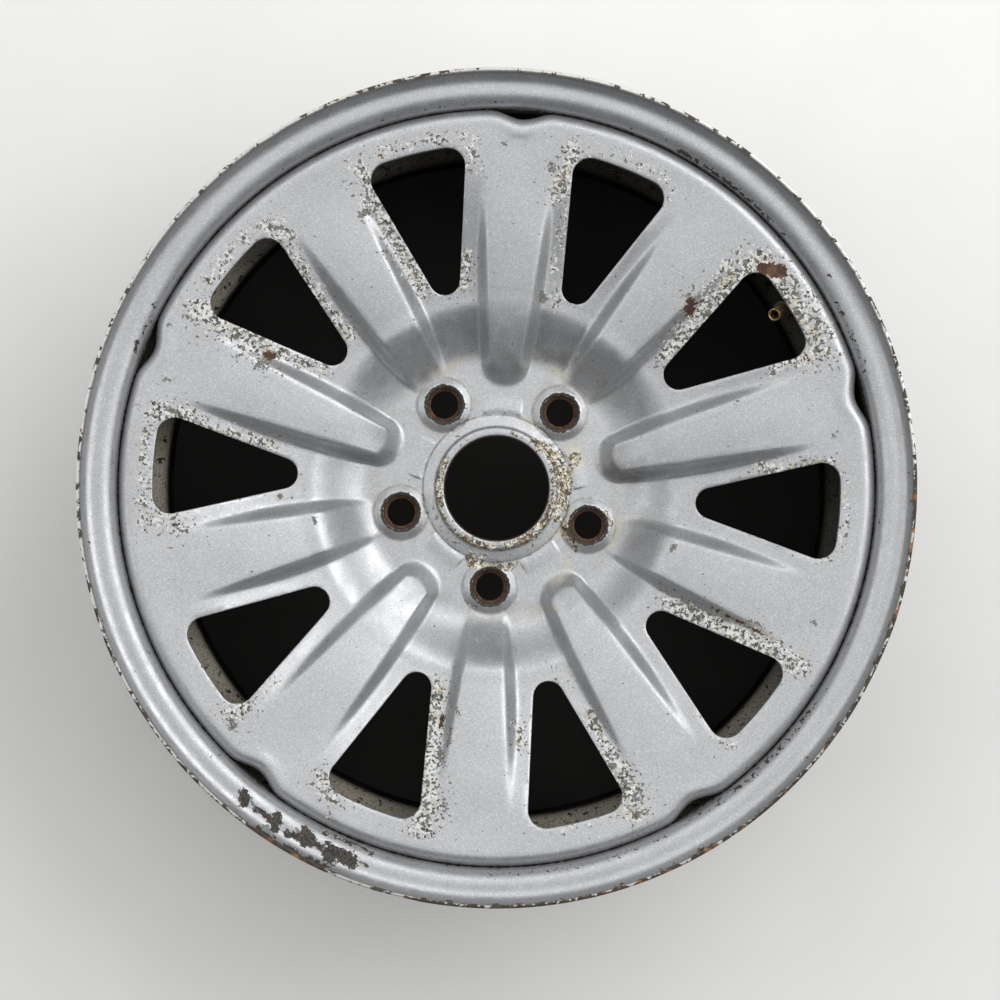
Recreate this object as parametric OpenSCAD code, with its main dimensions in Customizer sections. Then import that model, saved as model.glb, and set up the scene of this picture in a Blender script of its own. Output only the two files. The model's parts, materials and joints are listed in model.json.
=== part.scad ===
// Steel car wheel without a tyre: a rolled rim and a pressed ten-spoke disc.
// The wheel axis is Z. Z = 0 is the face that sits on the hub, and +Z is the street side.
// It lies flat on its inboard lip. A wide spoke points along +Y.

/* [Rim] */
// Diameter of both bead seats at the flange corner
bead_seat_d = 436.6; // [400:0.1:540]
// Width between the two flange faces
rim_w = 177.8; // [145:0.1:230]
// Distance from the rim's middle plane to the hub face
wheel_offset = 40; // [30:0.5:48]
// Sheet thickness of the rim
rim_t = 2.4; // [1.8:0.1:3.2]
// Height of the flange above the bead seat
flange_h = 17.3; // [14:0.1:21]
// Width of the curled flange, from its face to its lip
flange_w = 11.1; // [10:0.1:14]
// Outer radius of the flange curl
flange_curl_r = 9.5; // [8:0.1:10]
// Radius of the corner where the bead sits
bead_corner_r = 6.5; // [5:0.1:8]
// Slope of a bead seat in degrees
seat_slope = 5; // [3:0.5:6]
// Width of a bead seat
seat_w = 19.8; // [16:0.1:24]
// Height of the round hump above the end of its seat
hump_h = 1.9; // [1:0.1:2.5]
// Distance from the end of a seat to the top of its hump
hump_w = 5.2; // [4:0.1:6.5]
// Depth of the drop well below the bead seat
well_depth = 23.2; // [18:0.1:28]
// Width of the flat floor of the well
well_w = 38; // [30:0.5:48]
// Width of the ledge between the outboard hump and the slope into the well
ledge_w = 17.4; // [15:0.1:19]
// How far that ledge falls over its width
ledge_fall = 3.6; // [2:0.1:5]
// Slope of the well's outboard side, measured from the wheel's plane
drop_slope = 30; // [24:1:34]
// Height of the inboard shoulder above the well's floor
shoulder_h = 11.2; // [8:0.1:16]
// Height of the inboard ledge above the well's floor
inner_ledge_h = 15.2; // [12:0.1:19]
// Share of the way from the well to the inboard hump at which the shoulder lies
shoulder_share = 0.4; // [0.35:0.01:0.5]
// Share of that way between the inboard ledge and the hump
inner_ledge_share = 0.2; // [0.15:0.01:0.25]

/* [Rim bends] */
// Radius of the bend at the end of a bead seat
seat_end_bend = 6; // [4:0.5:8]
// Radius of a hump's crown
hump_bend = 5; // [3:0.5:7]
// Radius of the bend at the edge of the outboard ledge
ledge_bend = 7; // [4:0.5:9]
// Radius of the bend at the outboard edge of the well's floor
well_out_bend = 6; // [4:0.5:8]
// Radius of the bend at the inboard edge of the well's floor
well_in_bend = 12; // [6:0.5:14]
// Radius of the bend at the inboard shoulder
shoulder_bend = 15; // [8:0.5:18]
// Radius of the bend at the inboard ledge
inner_ledge_bend = 9; // [5:0.5:12]
// Smallest radius left on the inner side of a bend
least_bend = 0.8; // [0.5:0.1:1]

/* [Disc] */
// Sheet thickness of the disc
disc_t = 4; // [3:0.1:5]
// Gap between the disc's outer edge and the rim
disc_gap = 0.2; // [0.1:0.05:0.4]
// How far the disc's top ring lies below the outboard flange face
ring_sink = 4.4; // [2:0.1:8]
// Radius of the rolled outer edge of the disc
edge_roll_r = 7; // [6:0.1:9]
// Height of the disc's outer wall, from its top to its welded end
skirt_h = 30.5; // [26:0.1:31]
// Rise of the dish for each millimetre of radius
dish_rise = 0.135; // [0.1:0.005:0.16]
// Depth of the five vent notches in the outer edge
notch_depth = 5.1; // [3:0.1:6]
// Half of the angle that a vent notch spans
notch_angle = 5.2; // [4:0.1:6]
// Radial run over which a notch pulls in the top ring
notch_run = 12; // [8:1:16]

/* [Spokes and windows] */
// Number of lug holes, which is half the number of spokes
lug_count = 5; // [5:1:6]
// Half width of a spoke's foot at mid length
spoke_foot = 22.5; // [20:0.1:24]
// Half width of a spoke's flat top at its outer end
spoke_top = 16.6; // [14:0.1:18]
// Half width of a spoke's flat top near the hub
spoke_top_in = 8.1; // [6:0.1:9.5]
// Height of the spokes above the web between them
spoke_h = 8.3; // [6:0.1:10]
// Radius where the rounded inner end of a wide spoke meets the pad
wide_end_r = 57.6; // [55:0.1:62]
// Radius of the inner tip of a window
window_in_r = 114.4; // [105:0.1:125]
// Distance from a window's outer side to the top ring
window_margin = 13; // [10:0.1:18]
// Slope of a window's sides in degrees
window_side = 16.9; // [14:0.1:18]
// Radius of a window's inner tip
window_tip_r = 8.8; // [7:0.1:10]
// Radius of a window's outer corners
window_corner_r = 10; // [7:0.1:12]

/* [Pressed relief] */
// How much narrower a wide spoke's foot is at the pad than at mid length
wide_waist = 8.58; // [5:0.01:10]
// How much narrower a narrow spoke's foot is at the pad than at mid length
narrow_waist = 11.06; // [8:0.01:12]
// Distance from the top ring to the mid length of the spokes
mid_gap = 58; // [50:1:64]
// Distance from the top ring to where a spoke's flat top has its outer width
top_end_gap = 37.7; // [30:0.1:45]
// Distance from the pad to where a spoke's flat top has its inner width
top_start_gap = 9; // [6:0.5:12]
// Distance from the top ring to where the web starts to sink between the spokes
fade_margin = 20; // [12:1:24]
// Distance from a window's inner tip to where the web has sunk to its full depth
fade_tip_gap = 5.6; // [0:0.1:12]
// Radial run over which the narrow spokes rise from the pad
shoulder_run = 36; // [30:1:44]
// Distance from the pad to where the web starts to rise
web_start = 2; // [1:0.5:4]
// Radial run over which the web rises
web_run = 36; // [30:1:44]
// How far a wide spoke's top falls below the dish over its inner run
wide_fall = 11.4; // [6:0.1:13]
// Radial run of that fall
fall_run = 45; // [38:1:50]
// Distance that the fall starts outside the windows' inner tips
fall_lap = 0.6; // [0:0.1:4]
// Length of the rounded inner end of a wide spoke
end_reach = 14.9; // [11:0.1:17]
// Half length of the flat top inside that rounded end
end_top = 3; // [2:0.1:5]
// Thickest that the sheet may measure along the axis where it is steep, in sheet thicknesses
steep_limit = 2; // [1.5:0.1:2.2]

/* [Hub] */
// Diameter of the centre bore
bore_d = 60.1; // [50:0.1:72.2]
// Diameter of the lug hole circle
lug_circle_d = 114.3; // [105:0.1:125]
// Diameter of a lug hole
lug_hole_d = 16; // [13:0.1:17]
// Diameter of the cone seat at its top
cone_d = 21.4; // [20:0.1:24]
// Full angle of the lug nut cone
cone_angle = 60; // [60:1:90]
// Diameter of the raised boss around a lug hole, at its foot
boss_d = 31.2; // [28:0.1:32]
// Diameter of the flat top of the boss
boss_top_d = 23.4; // [22:0.1:26]
// Height of the boss above the pad
boss_h = 2.5; // [1:0.1:4]
// How far the pad's edge lies inside the outermost point of the bosses
boss_lap = 2.75; // [1:0.05:4]
// Wall thickness of the collar around the bore
collar_t = 5.2; // [3:0.1:6.5]
// Height of the collar above the pad
collar_h = 4.5; // [2:0.1:7]
// Width of the raised ring around the collar
hub_ring_w = 7.4; // [5:0.1:8]
// Height of that ring above the pad
hub_ring_h = 0.6; // [0.3:0.1:1]
// Radius at the foot of the collar
collar_fillet = 1.6; // [1:0.1:2]
// Bevel of the bore and of the collar's outer edge
chamfer = 0.9; // [0.5:0.1:1.2]
// Bevel of the low ring's edge
ring_bevel = 0.3; // [0.2:0.05:0.5]

/* [Valve] */
// Thread diameter of the brass stem
stem_d = 7.7; // [7:0.1:9]
// Bore of the brass stem
stem_bore_d = 5; // [4:0.1:5.6]
// Distance from the rim's inner face to the tip of the stem
valve_reach = 34; // [28:0.5:35]
// Bare length of the stem beyond its rubber body
stem_bare = 13; // [8:0.5:18]
// Diameter of the valve hole in the rim
valve_hole_d = 11.5; // [11:0.1:13]
// Largest diameter of the rubber body
body_d = 15.2; // [14:0.1:17]
// Diameter of the rubber body where the stem leaves it
body_end_d = 11; // [10:0.1:13]
// Thickness of the rubber head on the tyre side
valve_head_t = 5; // [4:0.1:6]
// Bevel of that head's edge
head_bevel = 1.5; // [1:0.1:2.5]
// Length of the full-width band of the rubber body, next to the rim
bulge_w = 3; // [2:0.1:5]
// Share of the rubber body's length at which its taper ends
taper_share = 0.62; // [0.5:0.01:0.7]
// Length of the round at the rubber body's tip
tip_round = 1; // [0.5:0.1:1.5]
// Gap between the rim and the rubber on either side of it
lip_gap = 0.25; // [0.1:0.05:0.4]
// Length of the stem inside the rubber head
stem_foot = 3; // [2:0.1:3.5]
// Height of the valve hole's middle above the floor of the drop well
valve_rise = 9.4; // [8:0.1:12]

/* [Welds] */
// Angle that each weld bead spans
weld_angle = 32; // [20:1:44]
// Height of a weld bead
weld_h = 3.4; // [2:0.1:5]
// Gap kept between a bead or the valve and the sheet it touches
touch_gap = 0.05; // [0.02:0.01:0.1]
// How far a bead laps over the end of the disc's wall
weld_lap = 2.4; // [1:0.1:3]
// How far the bead's free corner lies inside the wall's outer face
weld_corner_in = 0.4; // [0:0.1:1]
// Height of that corner above the bead's lowest edge
weld_corner_h = 1; // [0.5:0.1:1.5]

/* [Hidden] */
silver = [0.71, 0.72, 0.74];
weld_grey = [0.62, 0.63, 0.65];
brass = [0.63, 0.51, 0.29];
rubber = [0.09, 0.09, 0.1];
round_fn = 180;
arc_steps = 6;
spokes = 2 * lug_count;
half_pitch = 180 / spokes;
// Turns the round forms on the disc, so that their seams lie off the sheet's own edges.
seam_turn = 23;
// How far a cut or a buried end reaches past the surface that it crosses.
over = 1;
// Distance under which two points count as one.
near = 0.01;
// Steps of the mesh across the rounded ends of the wide spokes, and from there to the top ring.
end_steps = 4;
span_steps = 9;
// Spacing of the mesh's rings where the spokes rise from the pad.
rise_step = 6;
// How far the pressed sheet starts inside the bore, which is cut afterwards.
bore_lap = 1.5;

// Planes along the axis.
mid_z = -wheel_offset;
face_out_z = mid_z + rim_w / 2;
face_in_z = mid_z - rim_w / 2;
lip_out_z = face_out_z + flange_w;
lip_in_z = face_in_z - flange_w;
ring_z = face_out_z - ring_sink;
skirt_z = ring_z - skirt_h;

// Radii of the rim's tyre side.
seat_r = bead_seat_d / 2;
lip_r = seat_r + flange_h;
seat_end_r = seat_r - seat_w * tan(seat_slope);
hump_r = seat_end_r + hump_h;
well_r = seat_r - well_depth;
hump_out_z = face_out_z - seat_w - hump_w;
hump_in_z = face_in_z + seat_w + hump_w;
ledge_r = hump_r - ledge_fall;
ledge_z = hump_out_z - ledge_w;
well_out_z = ledge_z - (ledge_r - well_r) * tan(drop_slope);
well_in_z = well_out_z - well_w;
inboard_run = well_in_z - hump_in_z;

// Corners of the tyre side from the outboard lip to the inboard one, as [r, z, fillet].
rim_corners = [
    [lip_r, lip_out_z, 0],
    [lip_r, face_out_z, flange_curl_r],
    [seat_r, face_out_z, bead_corner_r],
    [seat_end_r, face_out_z - seat_w, seat_end_bend],
    [hump_r, hump_out_z, hump_bend],
    [ledge_r, ledge_z, ledge_bend],
    [well_r, well_out_z, well_out_bend],
    [well_r, well_in_z, well_in_bend],
    [well_r + shoulder_h, well_in_z - shoulder_share * inboard_run, shoulder_bend],
    [well_r + inner_ledge_h, hump_in_z + inner_ledge_share * inboard_run, inner_ledge_bend],
    [hump_r, hump_in_z, hump_bend],
    [seat_end_r, face_in_z + seat_w, seat_end_bend],
    [seat_r, face_in_z, bead_corner_r],
    [lip_r, face_in_z, flange_curl_r],
    [lip_r, lip_in_z, 0]
];

function unit(v) = v / norm(v);
function left_of(v) = [-v[1], v[0]];
function flat(p) = [p[0], p[1]];
function turn(a, b) = a[0] * b[1] - a[1] * b[0];

// The corner b moved sideways by t, for a path that runs a, b, c.
function side_step(a, b, c, t) =
    let (m = left_of(unit(flat(b) - flat(a))), n = left_of(unit(flat(c) - flat(b))))
    flat(b) + t * (m + n) / (1 + m * n);

// A path moved sideways by t, its fillets grown or shrunk with it.
function offset_path(p, t) = [
    for (i = [0 : len(p) - 1])
        let (
            last = len(p) - 1,
            a = i == 0 ? 2 * p[0] - p[1] : p[i - 1],
            c = i == last ? 2 * p[last] - p[last - 1] : p[i + 1],
            q = side_step(a, p[i], c, t),
            s = sign(turn(flat(p[i]) - flat(a), flat(c) - flat(p[i])))
        )
        [q[0], q[1], p[i][2] == 0 ? 0 : max(least_bend, p[i][2] - s * t)]
];

// Points along a path with its corners rounded to arcs.
function rounded(p) = [
    for (i = [0 : len(p) - 1])
        if (p[i][2] == 0)
            flat(p[i])
        else
            let (
                u = unit(flat(p[i - 1]) - flat(p[i])),
                v = unit(flat(p[i + 1]) - flat(p[i])),
                half = acos(u * v) / 2,
                reach = p[i][2] / tan(half),
                centre = flat(p[i]) + unit(u + v) * p[i][2] / sin(half),
                start = flat(p[i]) + u * reach - centre,
                sweep = (180 - 2 * half) * sign(turn(-u, v))
            )
            for (k = [0 : arc_steps])
                let (w = sweep * k / arc_steps)
                centre + [
                    start[0] * cos(w) - start[1] * sin(w),
                    start[0] * sin(w) + start[1] * cos(w)
                ]
];

// The path runs inboard with the tyre on its left, so the wheel's inner side lies to its right.
rim_inner = offset_path(rim_corners, -rim_t);

// The valve hole: where its axis meets the rim's inner face, and how far it leans.
valve_angle = 2 * half_pitch;
hole_reach = 3 * rim_t;
valve_r = well_r + valve_rise - rim_t * sin(drop_slope);
valve_z = well_out_z + valve_rise * tan(drop_slope) + rim_t * cos(drop_slope);

module at_valve() {
    rotate(valve_angle)
        translate([valve_r, 0, valve_z])
            rotate([0, -drop_slope, 0])
                children();
}

module rim() {
    color(silver)
        difference() {
            rotate_extrude($fn = round_fn)
                polygon(concat(
                    rounded(rim_corners),
                    [for (i = [len(rounded(rim_inner)) - 1 : -1 : 0]) rounded(rim_inner)[i]]
                ));
            at_valve()
                translate([0, 0, -hole_reach])
                    cylinder(h = 2 * hole_reach, d = valve_hole_d, $fn = 64);
        }
}

// The disc's outer edge follows the underside of the outboard bead seat.
seat_tan = tan(seat_slope);
function under_seat(z) = seat_r - (face_out_z - z) * seat_tan - rim_t / cos(seat_slope);
edge_z = ring_z - edge_roll_r;
edge_r = under_seat(edge_z) - disc_gap;
ring_r = edge_r - edge_roll_r;
skirt_r = under_seat(skirt_z) - disc_gap;

// Where the raised forms of the disc begin and end, by radius.
lug_r = lug_circle_d / 2;
pad_r = lug_r + boss_d / 2 - boss_lap;
shoulder_r = pad_r + shoulder_run;
web_in_r = pad_r + web_start;
web_out_r = web_in_r + web_run;
fade_out_r = ring_r - fade_margin;
fade_in_r = window_in_r + fade_tip_gap;
mid_r = ring_r - mid_gap;
top_in_r = pad_r + top_start_gap;
top_out_r = ring_r - top_end_gap;
wide_fall_r = window_in_r + fall_lap;
end_r = wide_end_r + end_reach;

function ease(t) = let (c = min(1, max(0, t))) c * c * (3 - 2 * c);

// Half widths of a spoke at radius r: its foot and its flat top.
function waist(r) = pow(max(0, mid_r - r) / (mid_r - pad_r), 2);
function foot(r, wide) = spoke_foot - (wide ? wide_waist : narrow_waist) * waist(r);
top_slope = (spoke_top - spoke_top_in) / (top_out_r - top_in_r);
function top(r) = spoke_top_in + top_slope * (r - top_in_r);

// Heights of the street side: the tops of the spokes and the web between them.
function dish(r) = ring_z - dish_rise * (ring_r - r);
function narrow_top(r) = disc_t + (dish(r) - disc_t) * ease((r - pad_r) / (shoulder_r - pad_r));
function wide_top(r) = dish(r) - wide_fall * pow(max(0, wide_fall_r - r) / fall_run, 2);
function sunk(r) = dish(r) - spoke_h * ease((fade_out_r - r) / (fade_out_r - fade_in_r));
function web(r) = disc_t + (sunk(r) - disc_t) * ease((r - web_in_r) / (web_out_r - web_in_r));

// How far up a spoke's wall a point lies, 0 at the foot and 1 on top, at x out and y across.
function climb_side(x, y, wide) =
    let (r = norm([x, y]), f = foot(r, wide), c = top(r))
    ease((f - abs(y)) / (f - c));
function climb_end(x, y) =
    let (d = norm([x - end_r, y]))
    d < near ? 1 :
        let (c = d / norm([(x - end_r) / end_top, y / top(end_r)]))
        ease((end_reach - d) / (end_reach - c));
function climb(x, y, wide) =
    wide && x < end_r ? climb_end(x, y) : climb_side(x, y, wide);

// Height of the street side at radius r and angle a from the nearest spoke's axis.
function height(r, a, wide) =
    let (base = web(r), crest = wide ? wide_top(r) : narrow_top(r))
    base + (crest - base) * climb(r * cos(a), r * sin(a), wide);

// Sheet thickness measured along Z, which grows where the sheet is steep.
function deep(r, a, wide) =
    let (
        da = 180 / PI / r,
        gr = (height(r + 1, a, wide) - height(r - 1, a, wide)) / 2,
        ga = (height(r, a + da, wide) - height(r, a - da, wide)) / 2
    )
    disc_t * min(steep_limit, norm([1, gr, ga]));

// Depth of the vent notch at angle a from a wide spoke's axis.
function notch(a, wide) =
    wide && abs(a) < notch_angle ? notch_depth * pow(cos(90 * a / notch_angle), 2) : 0;

// How far a notch pulls in the sheet at radius r: all of it at the ring, and none one run inside.
function pull(r) = ease((r - ring_r) / notch_run + 1);

// Radial stations from the bore to the top ring. The middle ones spread between hub and ring.
hub_stations = concat(
    [bore_d / 2 - bore_lap],
    [for (k = [0 : end_steps - 1]) wide_end_r + (pad_r - wide_end_r) * k / end_steps],
    [web_in_r, pad_r + rise_step]
);
first_span_r = pad_r + 2 * rise_step;
stations = concat(hub_stations, [
    for (k = [0 : span_steps])
        first_span_r + (ring_r - first_span_r) * k / span_steps
]);

// Columns of the mesh run along the feet and tops of the spokes, so the walls stay crisp.
function wide_spoke(s) = s % 2 == 0;
function spoke_axis(s) = 90 + s * 2 * half_pitch;
columns_half = 6;
// Place of the column inside a spoke's flat top, as a share of the way to its edge.
inner_column = 0.55;
columns = spokes * 2 * columns_half;
function column_spoke(j) = floor((j + columns_half) / (2 * columns_half)) % spokes;
function column_step(j) = (j + columns_half) % (2 * columns_half) - columns_half;
function column_angle(r, j) =
    let (
        w = wide_spoke(column_spoke(j)),
        b = max(r, w ? end_r : top_in_r),
        c = asin(top(b) / b),
        f = asin(foot(b, w) / b),
        marks = [0, inner_column * c, c, (c + f) / 2, f, (f + half_pitch) / 2, half_pitch],
        k = column_step(j)
    )
    sign(k) * marks[abs(k)];

function place(r, z, a, j) =
    let (t = a + spoke_axis(column_spoke(j)))
    [r * cos(t), r * sin(t), z];

// One closed loop of points around the sheet's section, at column j.
function section(j) =
    let (
        w = wide_spoke(column_spoke(j)),
        edge_a = column_angle(ring_r, j),
        n = notch(edge_a, w),
        inner = edge_roll_r - disc_t
    )
    concat(
        [for (r = stations) let (a = column_angle(r, j)) place(r - n * pull(r), height(r, a, w), a, j)],
        [for (t = [60, 30, 0])
            place(ring_r - n + edge_roll_r * cos(t), edge_z + edge_roll_r * sin(t), edge_a, j)],
        [place(skirt_r - n, skirt_z, edge_a, j),
         place(skirt_r - n - disc_t, skirt_z, edge_a, j)],
        [for (t = [0, 45])
            place(ring_r - n + inner * cos(t), edge_z + inner * sin(t), edge_a, j)],
        [for (i = [len(stations) - 1 : -1 : 0])
            let (r = stations[i], a = column_angle(r, j))
            place(r - n * pull(r), max(0, height(r, a, w) - deep(r, a, w)), a, j)]
    );

module pressed_sheet() {
    loops = [for (j = [0 : columns - 1]) section(j)];
    count = len(loops[0]);
    points = [for (l = loops) for (p = l) p];
    faces = [
        for (j = [0 : columns - 1])
            for (i = [0 : count - 1])
                let (
                    a = j * count + i,
                    b = j * count + (i + 1) % count,
                    c = (j + 1) % columns * count + (i + 1) % count,
                    d = (j + 1) % columns * count + i
                )
                each [[a, c, b], [a, d, c]]
    ];
    polyhedron(points, faces, convexity = 10);
}

// Outline of one window, pointing along +X. Its sides touch the tip and corner arcs.
window_out_r = ring_r - window_margin;
tip_x = window_in_r + window_tip_r;
side_n = [-sin(window_side), cos(window_side)];
corner_reach = window_out_r - window_corner_r;
side_level = window_tip_r - window_corner_r;
// Angle of a corner's centre, which lies on the side's line moved in by the corner radius.
corner_a = window_side - asin((tip_x * sin(window_side) - side_level) / corner_reach);
corner_c = corner_reach * [cos(corner_a), sin(corner_a)];
window_fn = 48;
rim_arc_steps = 8;

module window_outline() {
    tip = [tip_x, 0];
    up = [
        tip + window_tip_r * side_n,
        corner_c + window_corner_r * side_n
    ];
    arc = [
        for (k = [0 : rim_arc_steps])
            let (t = corner_a * (1 - 2 * k / rim_arc_steps))
            window_out_r * [cos(t), sin(t)]
    ];
    down = [for (k = [1, 0]) [up[k][0], -up[k][1]]];
    polygon(concat(up, arc, down));
    translate(tip)
        circle(r = window_tip_r, $fn = window_fn);
    for (s = [-1, 1])
        translate([corner_c[0], s * corner_c[1]])
            circle(r = window_corner_r, $fn = window_fn);
}

module window_cut() {
    translate([0, 0, -over])
        linear_extrude(height = lip_out_z)
            window_outline();
}

// The boss around a lug hole: a low cone that starts inside the sheet.
boss_top_z = disc_t + boss_h;
cone_slope = tan(cone_angle / 2);
cone_h = (cone_d - lug_hole_d) / 2 / cone_slope;

module boss() {
    sunk_h = disc_t / 2;
    spread = (boss_d - boss_top_d) / boss_h;
    translate([0, 0, disc_t - sunk_h])
        cylinder(h = sunk_h + boss_h, d1 = boss_d + spread * sunk_h, d2 = boss_top_d, $fn = 96);
}

module lug_cut() {
    translate([0, 0, -over])
        cylinder(h = boss_top_z + 2 * over, d = lug_hole_d, $fn = 96);
    translate([0, 0, boss_top_z - cone_h])
        cylinder(
            h = cone_h + over,
            d1 = lug_hole_d,
            d2 = cone_d + 2 * over * cone_slope,
            $fn = 96
        );
}

// The collar around the bore and the low ring outside it, as one turned form.
collar_r = bore_d / 2 + collar_t;
hub_ring_r = collar_r + hub_ring_w;
collar_z = disc_t + collar_h;

module hub_collar() {
    base_z = disc_t / 2;
    in_r = bore_d / 2 - over;
    step_z = disc_t + hub_ring_h;
    foot_z = step_z + 2 * ring_bevel;
    foot_c = [collar_r + collar_fillet, foot_z + collar_fillet];
    rotate_extrude($fn = round_fn)
        polygon(concat(
            [
                [in_r, base_z],
                [hub_ring_r, base_z],
                [hub_ring_r, step_z - ring_bevel],
                [hub_ring_r - ring_bevel, step_z]
            ],
            [for (t = [270, 225, 180]) foot_c + collar_fillet * [cos(t), sin(t)]],
            [
                [collar_r, collar_z - chamfer],
                [collar_r - chamfer, collar_z],
                [in_r, collar_z]
            ]
        ));
}

module bore_cut() {
    translate([0, 0, -over])
        cylinder(h = collar_z + 2 * over, d = bore_d, $fn = round_fn);
    translate([0, 0, collar_z - chamfer])
        cylinder(h = 2 * chamfer, d1 = bore_d, d2 = bore_d + 4 * chamfer, $fn = round_fn);
}

module disc() {
    color(silver)
        difference() {
            union() {
                pressed_sheet();
                rotate(seam_turn)
                    hub_collar();
                at_lugs()
                    boss();
            }
            for (k = [0 : spokes - 1])
                rotate(k * 2 * half_pitch)
                    window_cut();
            at_lugs()
                lug_cut();
            rotate(seam_turn)
                bore_cut();
        }
}

module at_lugs() {
    for (k = [0 : lug_count - 1])
        rotate(spoke_axis(2 * k + 1))
            translate([lug_r, 0, 0])
                rotate(seam_turn)
                    children();
}

// Fillet welds between the end of the disc's wall and the rim, one between two notches.
function rim_inside(z) =
    let (a = rim_inner[4], b = rim_inner[5])
    a[0] + (b[0] - a[0]) * (z - a[1]) / (b[1] - a[1]);

module weld_beads() {
    top_z = skirt_z - touch_gap;
    low_z = top_z - weld_h;
    color(weld_grey)
        for (k = [0 : lug_count - 1])
            rotate(spoke_axis(2 * k + 1) - weld_angle / 2)
                rotate_extrude(angle = weld_angle, $fn = round_fn)
                    polygon([
                        [skirt_r - weld_lap, top_z],
                        [rim_inside(top_z) - touch_gap, top_z],
                        [rim_inside(low_z) - touch_gap, low_z],
                        [skirt_r - weld_corner_in, low_z + weld_corner_h]
                    ]);
}

// The rubber body is held in the rim's hole by a groove between its bulge and its head.
stem_start = -rim_t - stem_foot;
body_top = valve_reach - stem_bare;
groove_low = -rim_t - lip_gap;
head_low = groove_low - valve_head_t;

module valve_body() {
    neck_r = valve_hole_d / 2 - touch_gap;
    bulge_r = body_d / 2;
    in_r = stem_d / 2 + touch_gap;
    color(rubber)
        at_valve()
            difference() {
                rotate_extrude($fn = 72)
                    polygon([
                        [0, head_low],
                        [bulge_r - head_bevel, head_low],
                        [bulge_r, head_low + head_bevel],
                        [bulge_r, groove_low],
                        [neck_r, groove_low],
                        [neck_r, lip_gap],
                        [bulge_r, 2 * lip_gap],
                        [bulge_r, 2 * lip_gap + bulge_w],
                        [body_end_d / 2, taper_share * body_top],
                        [body_end_d / 2, body_top - tip_round],
                        [body_end_d / 2 - tip_round, body_top],
                        [0, body_top]
                    ]);
                translate([0, 0, stem_start])
                    cylinder(h = body_top - stem_start + over, r = in_r, $fn = 48);
                translate([0, 0, head_low - over])
                    cylinder(h = stem_start - head_low + 2 * over, d = stem_bore_d, $fn = 48);
            }
}

module valve_stem() {
    color(brass)
        at_valve()
            difference() {
                translate([0, 0, stem_start + touch_gap])
                    cylinder(h = valve_reach - stem_start - touch_gap, d = stem_d, $fn = 48);
                translate([0, 0, stem_start - over])
                    cylinder(h = valve_reach - stem_start + 2 * over, d = stem_bore_d, $fn = 48);
            }
}

rim();
disc();
weld_beads();
valve_body();
valve_stem();
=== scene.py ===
"""Looks of a worn, bare steel car wheel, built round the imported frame.

Lengths are in millimetres until shown_piece() scales them to metres. Named angles are in degrees,
but for WINDOW_SIDE. Those round +Z start at +X, and a wide spoke lies at 90 degrees.
"""

import json
import math

import bpy
import numpy as np
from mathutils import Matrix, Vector
from mathutils.geometry import delaunay_2d_cdt


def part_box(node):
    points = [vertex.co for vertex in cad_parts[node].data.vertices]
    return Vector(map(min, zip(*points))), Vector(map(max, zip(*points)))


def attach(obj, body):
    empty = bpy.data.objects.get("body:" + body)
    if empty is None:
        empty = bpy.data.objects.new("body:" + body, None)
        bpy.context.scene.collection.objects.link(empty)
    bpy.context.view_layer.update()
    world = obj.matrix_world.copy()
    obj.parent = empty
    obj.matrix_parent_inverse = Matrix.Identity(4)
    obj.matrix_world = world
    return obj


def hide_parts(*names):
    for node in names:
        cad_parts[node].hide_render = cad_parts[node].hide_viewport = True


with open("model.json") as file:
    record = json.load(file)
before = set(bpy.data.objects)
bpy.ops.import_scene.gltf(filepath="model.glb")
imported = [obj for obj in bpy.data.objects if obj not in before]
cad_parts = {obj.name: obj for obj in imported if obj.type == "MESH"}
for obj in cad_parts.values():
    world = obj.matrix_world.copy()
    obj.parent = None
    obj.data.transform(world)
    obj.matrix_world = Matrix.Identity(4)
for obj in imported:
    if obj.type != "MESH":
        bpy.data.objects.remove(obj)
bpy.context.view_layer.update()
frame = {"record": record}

MM = 0.001
MOUNTS = {mount["name"]: mount["dims"] for mount in frame["record"]["mounts"]}


def cad_corner(node, axis, high=True):
    """One side of a CAD node's box, in millimetres."""
    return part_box(node)[1 if high else 0][axis] / MM


# The same sizes as the CAD model's, from the frame where the frame holds them.
BORE_R = MOUNTS["hub_bore"]["r_mm"]
LUG_CIRCLE_R = MOUNTS["lug_holes"]["pcd_mm"] / 2
LUG_HOLE_R = MOUNTS["lug_holes"]["hole_r_mm"]
LIP_R = cad_corner("rim", 0)
LIP_OUT_Z = cad_corner("rim", 2)
LIP_IN_Z = cad_corner("rim", 2, high=False)
RING_Z = cad_corner("disc", 2)
WELD_TOP_Z = cad_corner("weld_beads", 2)

# The rim's section, from its flanges to the drop well.
FLANGE_H = 17.3
FLANGE_W = 11.1
RIM_T = 2.4
CURL_R = 9.5
BEAD_CORNER_R = 6.5
SEAT_SLOPE = 5
SEAT_W = 19.8
HUMP_H = 1.9
HUMP_W = 5.2
WELL_DEPTH = 23.2
WELL_W = 38
LEDGE_W = 17.4
LEDGE_FALL = 3.6
DROP_SLOPE = 30
SHOULDER_H = 11.2
INNER_LEDGE_H = 15.2

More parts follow.
